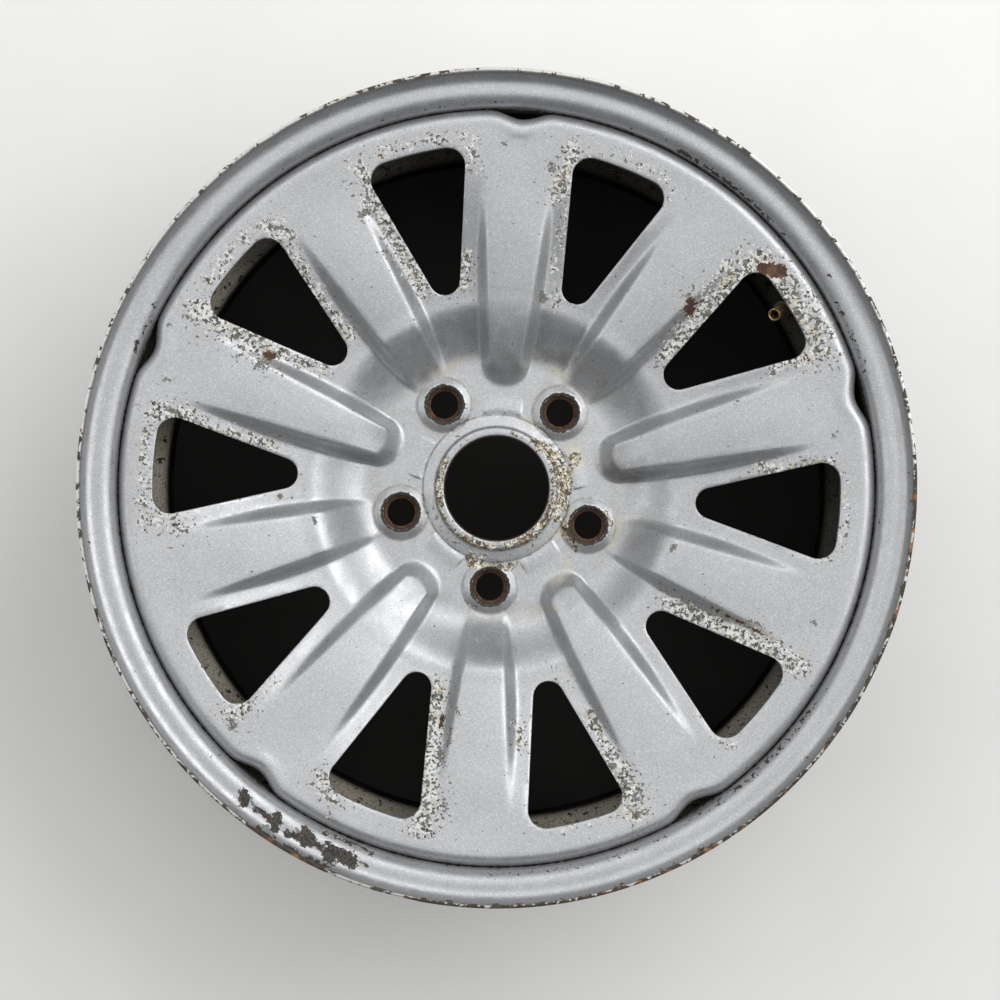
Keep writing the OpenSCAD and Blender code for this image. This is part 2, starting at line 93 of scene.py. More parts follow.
# The disc: its sheet, edge, spokes and windows, then its lug bosses and collar.
DISC_T = 4
DISC_GAP = 0.2
ROLL_R = 7
SKIRT_H = 30.5
DISH_RISE = 0.135
NOTCH_DEPTH = 5.1
NOTCH_ANGLE = 5.2
NOTCH_RUN = 12
SPOKE_FOOT = 22.5
SPOKE_TOP = 16.6
SPOKE_TOP_IN = 8.1
SPOKE_H = 8.3
WIDE_END_R = 57.6
WINDOW_IN_R = 114.4
WINDOW_MARGIN = 13
WINDOW_SIDE = math.radians(16.9)  # in radians
WINDOW_TIP_R = 8.8
WINDOW_CORNER_R = 10
WIDE_WAIST = 8.58
NARROW_WAIST = 11.06
WIDE_FALL = 11.4
FALL_RUN = 45
END_REACH = 14.9
END_TOP = 3
CONE_R = 10.7
BOSS_R = 15.6
BOSS_TOP_R = 11.7
BOSS_H = 2.5
COLLAR_T = 5.2
COLLAR_H = 4.5
HUB_RING_W = 7.4
HUB_RING_H = 0.6
CHAMFER = 0.9
PLATFORM_HALF_W = 11.4
PLATFORM_H = 0.75

# How the sheet runs into the pad. The crown and the sag are slight, and CAD leaves them out.
CROWN = 0.8
SAG = 1.5
SAG_R = 150
SAG_RUN = 38
SAG_IN_RUN = 26
CROWN_IN_GAP = 4
CROWN_IN_RUN = 22
CROWN_OUT_GAP = 14
CROWN_OUT_RUN = 34
PAD_RUN = 36
WEB_EDGE = 20
WEB_GAP = 2

# The valve: where it sits in the rim, and the sizes of its stem and body.
VALVE_ANGLE = 36
VALVE_RISE = 9.4
VALVE_REACH = 34
STEM_R = 3.85
STEM_BORE_R = 2.5
STEM_BARE = 13
BODY_R = 7.6
BODY_END_R = 5.5
NECK_R = 5.7

SPOKES = 10
PITCH = 360 / SPOKES
HALF_PITCH = PITCH / 2
LUG_AXES = [90 + PITCH * (2 * k + 1) for k in range(SPOKES // 2)]
SEAT_TAN = math.tan(math.radians(SEAT_SLOPE))

face_out_z = LIP_OUT_Z - FLANGE_W
face_in_z = LIP_IN_Z + FLANGE_W
seat_r = LIP_R - FLANGE_H
well_r = seat_r - WELL_DEPTH
seat_end_r = seat_r - SEAT_W * SEAT_TAN
hump_r = seat_end_r + HUMP_H
hump_in_z = face_in_z + SEAT_W + HUMP_W
ledge_r = hump_r - LEDGE_FALL
ledge_z = face_out_z - SEAT_W - HUMP_W - LEDGE_W
drop_tan = math.tan(math.radians(DROP_SLOPE))
well_out_z = ledge_z - (ledge_r - well_r) * drop_tan
well_in_z = well_out_z - WELL_W
inboard_run = well_in_z - hump_in_z


def under_seat(z):
    """Radius of the rim's inner face under the outboard bead seat."""
    return seat_r - (face_out_z - z) * SEAT_TAN - RIM_T / math.cos(math.radians(SEAT_SLOPE))


edge_z = RING_Z - ROLL_R
edge_r = under_seat(edge_z) - DISC_GAP
ring_r = edge_r - ROLL_R
skirt_z = RING_Z - SKIRT_H
skirt_r = under_seat(skirt_z) - DISC_GAP
pad_r = LUG_CIRCLE_R + BOSS_R - 2.75
mid_r = ring_r - 58
top_in_r = pad_r + 9
top_out_r = ring_r - 37.7
end_r = WIDE_END_R + END_REACH
fall_r = WINDOW_IN_R + 0.6
window_out_r = ring_r - WINDOW_MARGIN
tip_x = WINDOW_IN_R + WINDOW_TIP_R
collar_r = BORE_R + COLLAR_T
collar_z = DISC_T + COLLAR_H
bore_edge_r = BORE_R + CHAMFER
hub_ring_r = collar_r + HUB_RING_W
hub_ring_end_r = hub_ring_r + 0.7
hub_ring_z = DISC_T + HUB_RING_H
boss_z = DISC_T + BOSS_H
boss_foot_r = BOSS_R + 0.6
cone_foot_z = boss_z - (CONE_R - LUG_HOLE_R) / math.tan(math.radians(30))


# ---------------------------------------------------------------- mesh helpers

def smooth_noise(points, scale, seed):
    """Smooth noise from -1 to 1 at each point, from a few sine waves in seeded directions."""
    rng = np.random.default_rng(seed)
    total = np.zeros(len(points))
    waves = 9
    for _ in range(waves):
        direction = rng.normal(size=3)
        direction *= rng.uniform(0.6, 1.5) * 2 * math.pi / scale / np.linalg.norm(direction)
        total += np.sin(points @ direction + rng.uniform(0, 2 * math.pi))
    return total / math.sqrt(waves)


def shown_piece(name, points, faces, material, slot, node, sharp=40):
    """Makes a mesh object from points in millimetres and faces, as one body of the wheel."""
    mesh = bpy.data.meshes.new(name)
    mesh.from_pydata((np.asarray(points) * MM).tolist(), [], faces)
    mesh.validate()
    piece = bpy.data.objects.new(name, mesh)
    bpy.context.scene.collection.objects.link(piece)
    bpy.context.view_layer.objects.active = piece
    for other in bpy.context.selected_objects:
        other.select_set(False)
    piece.select_set(True)
    bpy.ops.object.mode_set(mode="EDIT")
    bpy.ops.mesh.select_all(action="SELECT")
    bpy.ops.mesh.remove_doubles(threshold=2e-6)
    bpy.ops.mesh.normals_make_consistent(inside=False)
    bpy.ops.object.mode_set(mode="OBJECT")
    mesh.shade_smooth()
    mesh.set_sharp_from_angle(angle=math.radians(sharp))
    mesh.materials.append(material)
    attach(piece, "root")
    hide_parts(node)
    return piece


def vertex_table(piece):
    """Points in millimetres and normals of a piece's vertices."""
    count = len(piece.data.vertices)
    points, normals = np.zeros(3 * count), np.zeros(3 * count)
    piece.data.vertices.foreach_get("co", points)
    piece.data.vertices.foreach_get("normal", normals)
    return points.reshape(-1, 3) / MM, normals.reshape(-1, 3)


def set_masks(piece, masks):
    """Stores named numbers from 0 to 1 on the vertices, for the piece's material."""
    for name, values in masks.items():
        mask = piece.data.attributes.new(name, "FLOAT", "POINT")
        mask.data.foreach_set("value", np.clip(values, 0, 1).astype(np.float32))


def strip(rows, loop=False):
    """Faces between neighbouring closed rows of point numbers; loop joins the last row to the first."""
    faces = []
    for low, high in list(zip(rows, rows[1:])) + ([(rows[-1], rows[0])] if loop else []):
        for i in range(len(low)):
            j = (i + 1) % len(low)
            faces.append((low[i], low[j], high[j], high[i]))
    return faces


def turned(profile, steps):
    """Points of a profile [[r, z], ...] turned round Z, as rows by profile point."""
    angles = np.radians(360 * np.arange(steps) / steps)
    points = [(*polar(r, a), z) for r, z in profile for a in angles]
    rows = np.arange(len(points)).reshape(len(profile), steps)
    return np.array(points), rows.tolist()


def ease(t):
    """Goes smoothly from 0 to 1 with t, and stays there."""
    c = np.clip(t, 0, 1)
    return c * c * (3 - 2 * c)


def polar(r, t, centre=(0, 0)):
    """The point at radius r and angle t, in radians, from a centre."""
    return centre[0] + r * math.cos(t), centre[1] + r * math.sin(t)


def from_axis(points, centre=(0, 0)):
    """Each point's distance from an upright axis."""
    return np.hypot(points[:, 0] - centre[0], points[:, 1] - centre[1])


def circle(centre, r, count, turn=0.0):
    """Points on a circle, the first one turned by so many degrees."""
    t = np.radians(turn) + 2 * math.pi * np.arange(count) / count
    return np.column_stack([centre[0] + r * np.cos(t), centre[1] + r * np.sin(t)])


LUGS = [polar(LUG_CIRCLE_R, math.radians(axis)) for axis in LUG_AXES]


# ---------------------------------------------------------------- form of the disc

def foot(r, wide):
    """Half the width of a spoke's foot at radius r."""
    waist = (np.maximum(0, mid_r - r) / (mid_r - pad_r)) ** 2
    return SPOKE_FOOT - np.where(wide, WIDE_WAIST, NARROW_WAIST) * waist


def top(r):
    """Half the width of a spoke's top at radius r."""
    return SPOKE_TOP_IN + (SPOKE_TOP - SPOKE_TOP_IN) / (top_out_r - top_in_r) * (r - top_in_r)


def dish(r):
    """Height of the dished surface that the spokes' tops follow."""
    return RING_Z - DISH_RISE * (ring_r - r)


def web(r):
    """Height of the sunken web between two spokes."""
    fade = ease((ring_r - WEB_EDGE - r) / (ring_r - WEB_EDGE - fall_r - 5))
    sunk = dish(r) - SPOKE_H * fade
    return DISC_T + (sunk - DISC_T) * ease((r - pad_r - WEB_GAP) / PAD_RUN)


def crest(r, wide):
    """Height of a spoke's top along its middle."""
    narrow = DISC_T + (dish(r) - DISC_T) * ease((r - pad_r) / PAD_RUN)
    broad = dish(r) - WIDE_FALL * (np.maximum(0, fall_r - r) / FALL_RUN) ** 2
    return np.where(wide, broad, narrow)


def climb(x, y, wide):
    """How far up a spoke's wall a point lies: 0 at the foot, 1 on top."""
    r = np.hypot(x, y)
    f, c = foot(r, wide), top(r)
    side = ease((f - np.abs(y)) / (f - c))
    d = np.maximum(1e-3, np.hypot(x - end_r, y))
    c_end = d / np.maximum(1e-9, np.hypot((x - end_r) / END_TOP, y / top(end_r)))
    end = ease((END_REACH - d) / (END_REACH - c_end))
    return np.where(wide & (x < end_r), end, side)


def sheet_z(r, a, wide):
    """Height of the sheet's street side at radius r and angle a from the spoke's axis."""
    low = web(r)
    t = np.radians(a)
    sag = SAG * np.clip((SAG_R - r) / SAG_RUN, 0, 1) ** 2 * ease((r - pad_r) / SAG_IN_RUN)
    half = np.clip(np.abs(r * np.sin(t)) / foot(r, wide), 0, 1)
    outer = ease((ring_r - CROWN_OUT_GAP - r) / CROWN_OUT_RUN)
    inner = ease((r - pad_r - CROWN_IN_GAP) / CROWN_IN_RUN)
    crown = CROWN * np.cos(half * math.pi / 2) ** 2 * (outer * inner)
    return low + (crest(r, wide) - low) * climb(r * np.cos(t), r * np.sin(t), wide) + crown - sag


def back_z(r, a, wide):
    """Height of the sheet's hub side."""
    da = np.degrees(1 / r)
    gr = (sheet_z(r + 1, a, wide) - sheet_z(r - 1, a, wide)) / 2
    ga = (sheet_z(r, a + da, wide) - sheet_z(r, a - da, wide)) / 2
    return np.maximum(0, sheet_z(r, a, wide) - DISC_T * np.minimum(2, np.sqrt(1 + gr**2 + ga**2)))


def from_spoke(x, y):
    """Radius, angle from the nearest spoke's axis, and whether that spoke is a wide one."""
    theta = np.degrees(np.arctan2(y, x)) - 90
    index = np.round(theta / PITCH)
    return np.hypot(x, y), theta - index * PITCH, index.astype(int) % 2 == 0


def notch(a, wide):
    """How far a vent notch pulls in the disc's edge."""
    bump = NOTCH_DEPTH * np.cos(np.radians(90 * a / NOTCH_ANGLE)) ** 2
    return np.where(wide & (np.abs(a) < NOTCH_ANGLE), bump, 0)


# Sections through a lug boss, and through the collar with the low ring, as (distance, height).
BOSS_SECTION = [
    (LUG_HOLE_R, cone_foot_z), (CONE_R - 0.2, boss_z - 0.35), (CONE_R + 0.3, boss_z - 0.05),
    (BOSS_TOP_R - 0.4, boss_z), (BOSS_TOP_R + 0.4, boss_z - 0.25),
    (BOSS_R - 0.8, DISC_T + 0.75), (BOSS_R - 0.1, DISC_T + 0.35), (boss_foot_r, DISC_T),
]
COLLAR_SECTION = [
    (bore_edge_r, collar_z - 0.12), (bore_edge_r + 0.4, collar_z),
    (collar_r - CHAMFER, collar_z), (collar_r - 0.3, collar_z - 0.35), (collar_r, collar_z - CHAMFER),
    (collar_r + 0.25, hub_ring_z + 1.9), (collar_r + 0.8, hub_ring_z + 1.15),
    (collar_r + 1.6, hub_ring_z + 0.9), (hub_ring_r - 0.4, hub_ring_z - 0.3),
    (hub_ring_r - 0.1, hub_ring_z - 0.45), (hub_ring_r + 0.25, DISC_T - 0.1), (hub_ring_end_r, DISC_T),
]


def section_z(section, d):
    """Height of a section at distance d from its axis."""
    return np.interp(d, *zip(*section))


def pad_relief(r, a, wide):
    """Low platforms pressed into the pad between the lug bosses, one before each wide spoke."""
    across = ease(PLATFORM_HALF_W + 0.5 - np.abs(r * np.sin(np.radians(a))))
    along = ease((r - hub_ring_r - 0.8) / 0.9) * ease((WIDE_END_R - 3 - r) / 9)
    return np.where(wide, PLATFORM_H, 0) * across * along


def front_z(x, y, sheet_r=None):
    """Height of the disc's street side at a point. At a vent notch, sheet_r is the radius before it."""
    r, a, wide = from_spoke(x, y)
    z = sheet_z(r if sheet_r is None else sheet_r, a, wide) + pad_relief(r, a, wide)
    for lug_x, lug_y in LUGS:
        d = np.hypot(x - lug_x, y - lug_y)
        z = np.where(d < boss_foot_r, np.maximum(section_z(BOSS_SECTION, d), np.where(d > BOSS_R, z, -9)), z)
    return np.where(r < hub_ring_end_r, section_z(COLLAR_SECTION, r), z)


def window_distance(x, y):
    """Signed distance from the nearest window's outline, above 0 on the sheet."""
    theta = np.degrees(np.arctan2(y, x))
    t = np.radians(theta - np.round(theta / PITCH) * PITCH)
    r = np.hypot(x, y)
    u, v = r * np.cos(t), np.abs(r * np.sin(t))
    cos_s, sin_s = math.cos(WINDOW_SIDE), math.sin(WINDOW_SIDE)
    side = v * cos_s - (u - tip_x) * sin_s - WINDOW_TIP_R
    tip = np.hypot(u - tip_x, v) - WINDOW_TIP_R
    corner = np.hypot(u - CORNER[0], v - CORNER[1]) - WINDOW_CORNER_R
    past_side = (u - CORNER[0]) * cos_s + (v - CORNER[1]) * sin_s > 0
    above = CORNER[0] * v - CORNER[1] * u > 0
    before = (u - tip_x) * cos_s + v * sin_s < 0
    body = np.maximum(side, r - window_out_r)
    return np.where(before, tip, np.where(past_side & above, corner, body))


def window_corner():
    """Centre of a window's outer corner in the window's own axes, and its angle."""
    reach = window_out_r - WINDOW_CORNER_R
    level = WINDOW_TIP_R - WINDOW_CORNER_R
    angle = WINDOW_SIDE - math.asin((tip_x * math.sin(WINDOW_SIDE) - level) / reach)
    return *polar(reach, angle), angle


CORNER = window_corner()


def window_loop(offset, index):
    """Outline of one window, moved outwards by offset."""
    turn = math.pi / 2 + WINDOW_SIDE
    tip_r, corner_r = WINDOW_TIP_R + offset, WINDOW_CORNER_R + offset
    tip, corner = (tip_x, 0), (CORNER[0], -CORNER[1])
    side_steps = 34
    path = [polar(tip_r, t, tip) for t in np.linspace(-math.pi, -turn, 9)[:-1]]
    (x0, y0), (x1, y1) = polar(tip_r, -turn, tip), polar(corner_r, -turn, corner)
    path += [(x0 + (x1 - x0) * k / side_steps, y0 + (y1 - y0) * k / side_steps) for k in range(side_steps)]
    path += [polar(corner_r, t, corner) for t in np.linspace(-turn, -CORNER[2], 13)[:-1]]
    path += [polar(window_out_r + offset, t) for t in np.linspace(-CORNER[2], 0, 12)]
    path += [(x, -y) for x, y in path[1:-1][::-1]]
    c, s = polar(1, math.radians(index * PITCH))
    return np.array([(x * c - y * s, x * s + y * c) for x, y in path])


# How fine the disc's mesh is.
TOP_COLUMNS, WALL_COLUMNS, WEB_COLUMNS = 6, 8, 9
HOLE_STEPS, HUB_STEPS = 64, 180
FRONT_STEP, BACK_STEP = 1.35, 2.8
FRONT_RINGS, BACK_RINGS = 66, 44


def column_angles(r):
    """Angles of the mesh's columns at radius r, which follow the spokes' crests and feet."""
    columns = []
    for s in range(SPOKES):
        wide = s % 2 == 0
        b = max(r, end_r if wide else top_in_r)
        c = math.degrees(math.asin(float(top(b)) / b))
        f = math.degrees(math.asin(float(foot(b, wide)) / b))
        half = np.concatenate([
            np.linspace(0, c, TOP_COLUMNS + 1)[:-1],
            np.linspace(c, f, WALL_COLUMNS + 1)[:-1],
            np.linspace(f, HALF_PITCH, WEB_COLUMNS + 1),
        ])
        both = np.concatenate([-half[1:-1][::-1], half])
        columns.append(90 + s * PITCH + both)
    return np.concatenate(columns)


def disc_grid(radii):
    """Rings of the pressed sheet as x, y and the radius before the vent notches, outermost last."""
    edge = np.radians(column_angles(ring_r))
    _, edge_a, edge_wide = from_spoke(np.cos(edge), np.sin(edge))
    rings = []
    for r in radii:
        t = np.radians(column_angles(r))
        m = notch(edge_a, edge_wide) * ease((r - ring_r) / NOTCH_RUN + 1)
        rings.append(np.column_stack([(r - m) * np.cos(t), (r - m) * np.sin(t), np.full(len(t), r)]))
    return rings


def disc_side(radii, hub_radii, lug_radii, window_offset, height):
    """Triangulates one side of the disc between its edge and its holes: points and faces.

    Loops round the holes are fixed edges, and further rings of points follow the bosses and the collar."""
    *rings, edge = disc_grid(radii)
    inner = np.vstack(rings)
    keep = window_distance(inner[:, 0], inner[:, 1]) > window_offset + 0.5
    keep &= from_axis(inner) > hub_radii[-1] + 0.5
    for lug in LUGS:
        keep &= from_axis(inner, lug) > lug_radii[-1] + 0.5
    inner = inner[keep]
    count = len(edge)
    parts = [edge, inner]
    edges = [(i, (i + 1) % count) for i in range(count)]
    start = count + len(inner)

    def add(loop, fixed):
        """Adds a loop's points, and its edges where the mesh must follow them."""
        nonlocal start
        n = len(loop)
        parts.append(np.column_stack([loop, from_axis(loop)]))
        if fixed:
            edges.extend((start + i, start + (i + 1) % n) for i in range(n))
        start += n

    for k in range(SPOKES):
        add(window_loop(window_offset, k), True)
    for i, r in enumerate(hub_radii):
        add(circle((0, 0), r, HUB_STEPS, turn=i * 180 / HUB_STEPS), i == 0)
    for lug in LUGS:
        for i, r in enumerate(lug_radii):
            add(circle(lug, r, HOLE_STEPS, turn=i * 180 / HOLE_STEPS), i == 0)
    flat = np.vstack(parts)
    _, _, faces, origin, _, _ = delaunay_2d_cdt([Vector(p) for p in flat[:, :2]], edges, [], 0, 1e-5, True)
    source = [ids[0] if ids else -1 for ids in origin]
    tri = np.array([[source[i] for i in f] for f in faces if len(f) == 3])
    tri = tri[(tri >= 0).all(axis=1)]
    mid = flat[tri, :2].mean(axis=1)
    keep = window_distance(mid[:, 0], mid[:, 1]) > window_offset - 0.02
    keep &= from_axis(mid) > hub_radii[0] * math.cos(math.pi / HUB_STEPS)
    for lug in LUGS:
        keep &= from_axis(mid, lug) > lug_radii[0] * math.cos(math.pi / HOLE_STEPS)
    r, a, wide = from_spoke(mid[:, 0], mid[:, 1])
    keep &= r < ring_r - notch(a, wide) - 0.02
    return np.column_stack([flat[:, :2], height(flat)]), tri[keep].tolist()


def front_height(flat):
    """Heights of disc_grid points on the street side."""
    return front_z(flat[:, 0], flat[:, 1], flat[:, 2])


def back_height(flat):
    """Heights of disc_grid points on the hub side."""
    _, a, wide = from_spoke(flat[:, 0], flat[:, 1])
    return np.where(flat[:, 2] > ring_r - 1e-6, RING_Z - DISC_T, back_z(flat[:, 2], a, wide))


def disc_edge():
    """The rolled edge, the wall and its end, from the street side's ring to the hub side's."""
    theta = np.radians(column_angles(ring_r))
    _, a, wide = from_spoke(np.cos(theta), np.sin(theta))
    pulled_in = notch(a, wide)
    centre = (ring_r, edge_z)
    inner = ROLL_R - DISC_T
    wall_in_r = skirt_r - DISC_T
    profile = [polar(ROLL_R, t, centre) for t in np.linspace(math.pi / 2, 0, 9)]
    profile += between((edge_r, edge_z), (skirt_r, skirt_z), 5)
    profile += [(skirt_r, skirt_z + 0.4), (skirt_r - 0.4, skirt_z),
                (wall_in_r + 0.4, skirt_z), (wall_in_r, skirt_z + 0.4)]
    profile += between((wall_in_r, skirt_z), (ring_r + inner, edge_z), 4)
    profile += [polar(inner, t, centre) for t in np.linspace(0, math.pi / 2, 6)]
    return wall_rows([(np.column_stack([(r - pulled_in) * np.cos(theta), (r - pulled_in) * np.sin(theta)]), z)
                      for r, z in profile])


def between(start, end, steps):
    """Points that divide a line into steps, without its ends."""
    return [(start[0] + (end[0] - start[0]) * k / steps, start[1] + (end[1] - start[1]) * k / steps)
            for k in range(1, steps)]


def wall_rows(loops):
    """Joins loops of points, given as (xy, z) pairs, into a wall."""
    points = np.vstack([np.column_stack([xy, np.broadcast_to(z, len(xy))]) for xy, z in loops])
    rows = np.arange(len(points)).reshape(len(loops), -1)
    return points, strip(rows.tolist())


def window_wall(index):
    """The rounded cut edge of one window, from the street side to the hub side."""
    front, near, edge, back = [window_loop(offset, index) for offset in (FRONT_EDGE, 0.15, 0, BACK_EDGE)]
    top_z = front_z(front[:, 0], front[:, 1])
    low_z = back_z(*from_spoke(back[:, 0], back[:, 1]))
    return wall_rows([(front, top_z), (near, top_z - 0.2), (edge, top_z - 0.55),
                      (edge, (top_z + low_z) / 2), (edge, low_z + 0.4), (back, low_z)])


HUB_RADII = [bore_edge_r, bore_edge_r + 0.5, BORE_R + 2.6, collar_r - CHAMFER,
             collar_r - 0.35, collar_r, collar_r + 0.3, collar_r + 0.8, collar_r + 1.6,
             collar_r + 3, collar_r + 4.5, hub_ring_r - 0.9, hub_ring_r - 0.35, hub_ring_r,
             hub_ring_r + 0.35, hub_ring_r + 0.9]
LUG_RADII = sorted([d for d, _ in BOSS_SECTION] + [8.9, 9.8, 13.0, 13.9, BOSS_R + 1.4])
FRONT_EDGE = 0.5
BACK_EDGE = 0.4


def disc_mesh():
    """All points and faces of the disc."""
    front_radii = [*np.arange(hub_ring_r + 1.4, end_r, FRONT_STEP), *np.linspace(end_r, ring_r, FRONT_RINGS)]
    back_radii = [*np.arange(BORE_R + 3, end_r, BACK_STEP), *np.linspace(end_r, ring_r, BACK_RINGS)]
    patches = [
        disc_side(front_radii, HUB_RADII, LUG_RADII, FRONT_EDGE, front_height),
        disc_side(back_radii, [BORE_R + 0.4, BORE_R + 1.6], [LUG_HOLE_R + 0.3, 9.5], BACK_EDGE, back_height),
        disc_edge(),
    ]
    patches += [window_wall(k) for k in range(SPOKES)]
    bore = [(CHAMFER, COLLAR_SECTION[0][1]), (0.3, collar_z - 0.7), (0, collar_z - 1.2),
            (0, 5), (0, 2), (0, 0.4), (0.4, 0)]
    patches.append(wall_rows([(circle((0, 0), BORE_R + wider, HUB_STEPS), z) for wider, z in bore]))
    for lug in LUGS:
        patches.append(wall_rows([(circle(lug, LUG_HOLE_R + wider, HOLE_STEPS), z)
                                  for wider, z in ((0, cone_foot_z), (0, 0.3), (0.3, 0))]))
    points, faces, offset = [], [], 0
    for part, part_faces in patches:
        points.append(part)
        faces += [tuple(i + offset for i in f) for f in part_faces]
        offset += len(part)
    return np.vstack(points), faces


# ---------------------------------------------------------------- form of the rim

def rounded_path(corners, steps):
    """Points along a path of (r, z, fillet) corners, its fillets as arcs of so many steps a quarter turn."""
    points = []
    for i, (r, z, fillet) in enumerate(corners):
        here = np.array([r, z])
        if fillet == 0:
            points.append(here)
            continue
        back = np.array(corners[i - 1][:2]) - here
        ahead = np.array(corners[i + 1][:2]) - here
        u, v = back / np.linalg.norm(back), ahead / np.linalg.norm(ahead)
        half = math.acos(float(u @ v)) / 2
        centre = here + (u + v) / np.linalg.norm(u + v) * fillet / math.sin(half)
        start = here + u * fillet / math.tan(half) - centre
        sweep = (math.pi - 2 * half) * np.sign(-u[0] * v[1] + u[1] * v[0])
        count = max(3, int(steps * abs(sweep) / (math.pi / 2)))
        for k in range(count + 1):
            c, s = polar(1, sweep * k / count)
            points.append(centre + [start[0] * c - start[1] * s, start[0] * s + start[1] * c])
    return points


def side_path(corners, t):
    """A path moved sideways by t, its fillets grown or shrunk with it."""
    moved = []
    for i, (r, z, fillet) in enumerate(corners):
        here = np.array([r, z], float)
        before = np.array(corners[i - 1][:2], float) if i else 2 * here - corners[1][:2]
        after = np.array(corners[i + 1][:2], float) if i < len(corners) - 1 else 2 * here - corners[-2][:2]
        u = (here - before) / np.linalg.norm(here - before)
        v = (after - here) / np.linalg.norm(after - here)
        m, n = np.array([-u[1], u[0]]), np.array([-v[1], v[0]])
        q = here + t * (m + n) / (1 + m @ n)
        bend = np.sign(u[0] * v[1] - u[1] * v[0])
        moved.append((q[0], q[1], 0 if fillet == 0 else max(0.8, fillet - bend * t)))
    return moved


RIM_CORNERS = [
    (LIP_R, LIP_OUT_Z, 0), (LIP_R, face_out_z, CURL_R), (seat_r, face_out_z, BEAD_CORNER_R),
    (seat_end_r, face_out_z - SEAT_W, 6), (hump_r, face_out_z - SEAT_W - HUMP_W, 5),
    (ledge_r, ledge_z, 7), (well_r, well_out_z, 6), (well_r, well_in_z, 12),
    (well_r + SHOULDER_H, well_in_z - 0.4 * inboard_run, 15),
    (well_r + INNER_LEDGE_H, hump_in_z + 0.2 * inboard_run, 9),
    (hump_r, hump_in_z, 5), (seat_end_r, face_in_z + SEAT_W, 6), (seat_r, face_in_z, BEAD_CORNER_R),
    (LIP_R, face_in_z, CURL_R), (LIP_R, LIP_IN_Z, 0),
]


def dense(path, longest):
    """A path with points added, so that no piece is longer than longest."""
    out = [path[0]]
    for a, b in zip(path, path[1:]):
        count = max(1, math.ceil(np.linalg.norm(b - a) / longest))
        out += [a + (b - a) * k / count for k in range(1, count + 1)]
    return out


def lip_end(outer, inner, up):
    """A slightly rounded cut edge between the two faces of the sheet, up for 1 and down for -1."""
    (r1, z), r0 = outer, inner[0]
    round_r, bevel = 0.45, 0.13
    section = [(r1, round_r), (r1 - bevel, bevel), (r1 - round_r, 0), ((r0 + r1) / 2, 0),
               (r0 + round_r, 0), (r0 + bevel, bevel), (r0, round_r)]
    return [np.array([r, z - up * down]) for r, down in section]


RIM_STEPS = 384


def rim_mesh():
    """Points and faces of the rim: its section turned, with small nicks in both lips."""
    outer = rounded_path(RIM_CORNERS, 10)
    inner = rounded_path(side_path(RIM_CORNERS, -RIM_T), 10)
    start = lip_end(outer[0], inner[0], 1)
    end = lip_end(outer[-1], inner[-1], -1)
    section = dense(outer[:-1], 6)[1:] + end + dense(inner[:-1], 6)[:0:-1] + start[::-1]
    section = [p for i, p in enumerate(section) if i == 0 or np.linalg.norm(p - section[i - 1]) > 0.02]
    points, rows = turned(section, RIM_STEPS)
    at_lip = ease((points[:, 2] - LIP_OUT_Z + 3) / 3) + ease((LIP_IN_Z + 3 - points[:, 2]) / 3)
    waves = smooth_noise(points, 60, 3)
    nick = 0.5 * np.maximum(0, smooth_noise(points, 22, 5) - 0.9) + 0.1 * (waves + 1.5)
    shrink = 1 - np.clip(at_lip, 0, 1) * np.clip(nick, 0, 0.7) / from_axis(points)
    points[:, :2] *= shrink[:, None]
    return points, strip(rows, loop=True)


# ---------------------------------------------------------------- welds and valve

def weld_mesh():
    """Five fillet welds with the ripples of their beads."""
    low_z = cad_corner("weld_beads", 2, high=False)
    span, steps, ring = 32, 150, 12
    inner_r, outer_r = skirt_r - 2.4, skirt_r + 0.1
    mid_weld_r, half_w, half_h = (inner_r + outer_r) / 2, (outer_r - inner_r) / 2, (WELD_TOP_Z - low_z) / 2
    points, faces = [], []
    rng = np.random.default_rng(11)
    for axis in LUG_AXES:
        base = len(points)
        phase = rng.uniform(0, 6)
        for i in range(steps + 1):
            share = i / steps
            t = math.radians(axis - span / 2 + span * share)
            taper = min(1, 6 * min(share, 1 - share) + 0.35)
            ripple = 0.86 + 0.14 * abs(math.sin(share * 68 + phase + 0.5 * math.sin(share * 31)))
            for j in range(ring):
                c, s = polar(1, 2 * math.pi * j / ring)
                z = WELD_TOP_Z - half_h + half_h * s * (taper * ripple if s < 0 else 1)
                points.append((*polar(mid_weld_r + half_w * c * taper, t), z))
        rows = [[base + i * ring + j for j in range(ring)] for i in range(steps + 1)]
        faces += strip(rows)
        faces += [tuple(rows[0][::-1]), tuple(rows[-1])]
    return np.array(points), faces


def to_valve(points):
    """Moves points from the valve's own axes, with Z out of the rim, to the wheel's."""
    lean, turn = math.radians(DROP_SLOPE), math.radians(VALVE_ANGLE)
    base_r = well_r + VALVE_RISE - RIM_T * math.sin(lean)
    base_z = well_out_z + VALVE_RISE * drop_tan + RIM_T * math.cos(lean)
    x, y, z = np.asarray(points).T
    r = base_r + x * math.cos(lean) - z * math.sin(lean)
    up = base_z + x * math.sin(lean) + z * math.cos(lean)
    c, s = polar(1, turn)
    return np.column_stack([r * c - y * s, r * s + y * c, up])


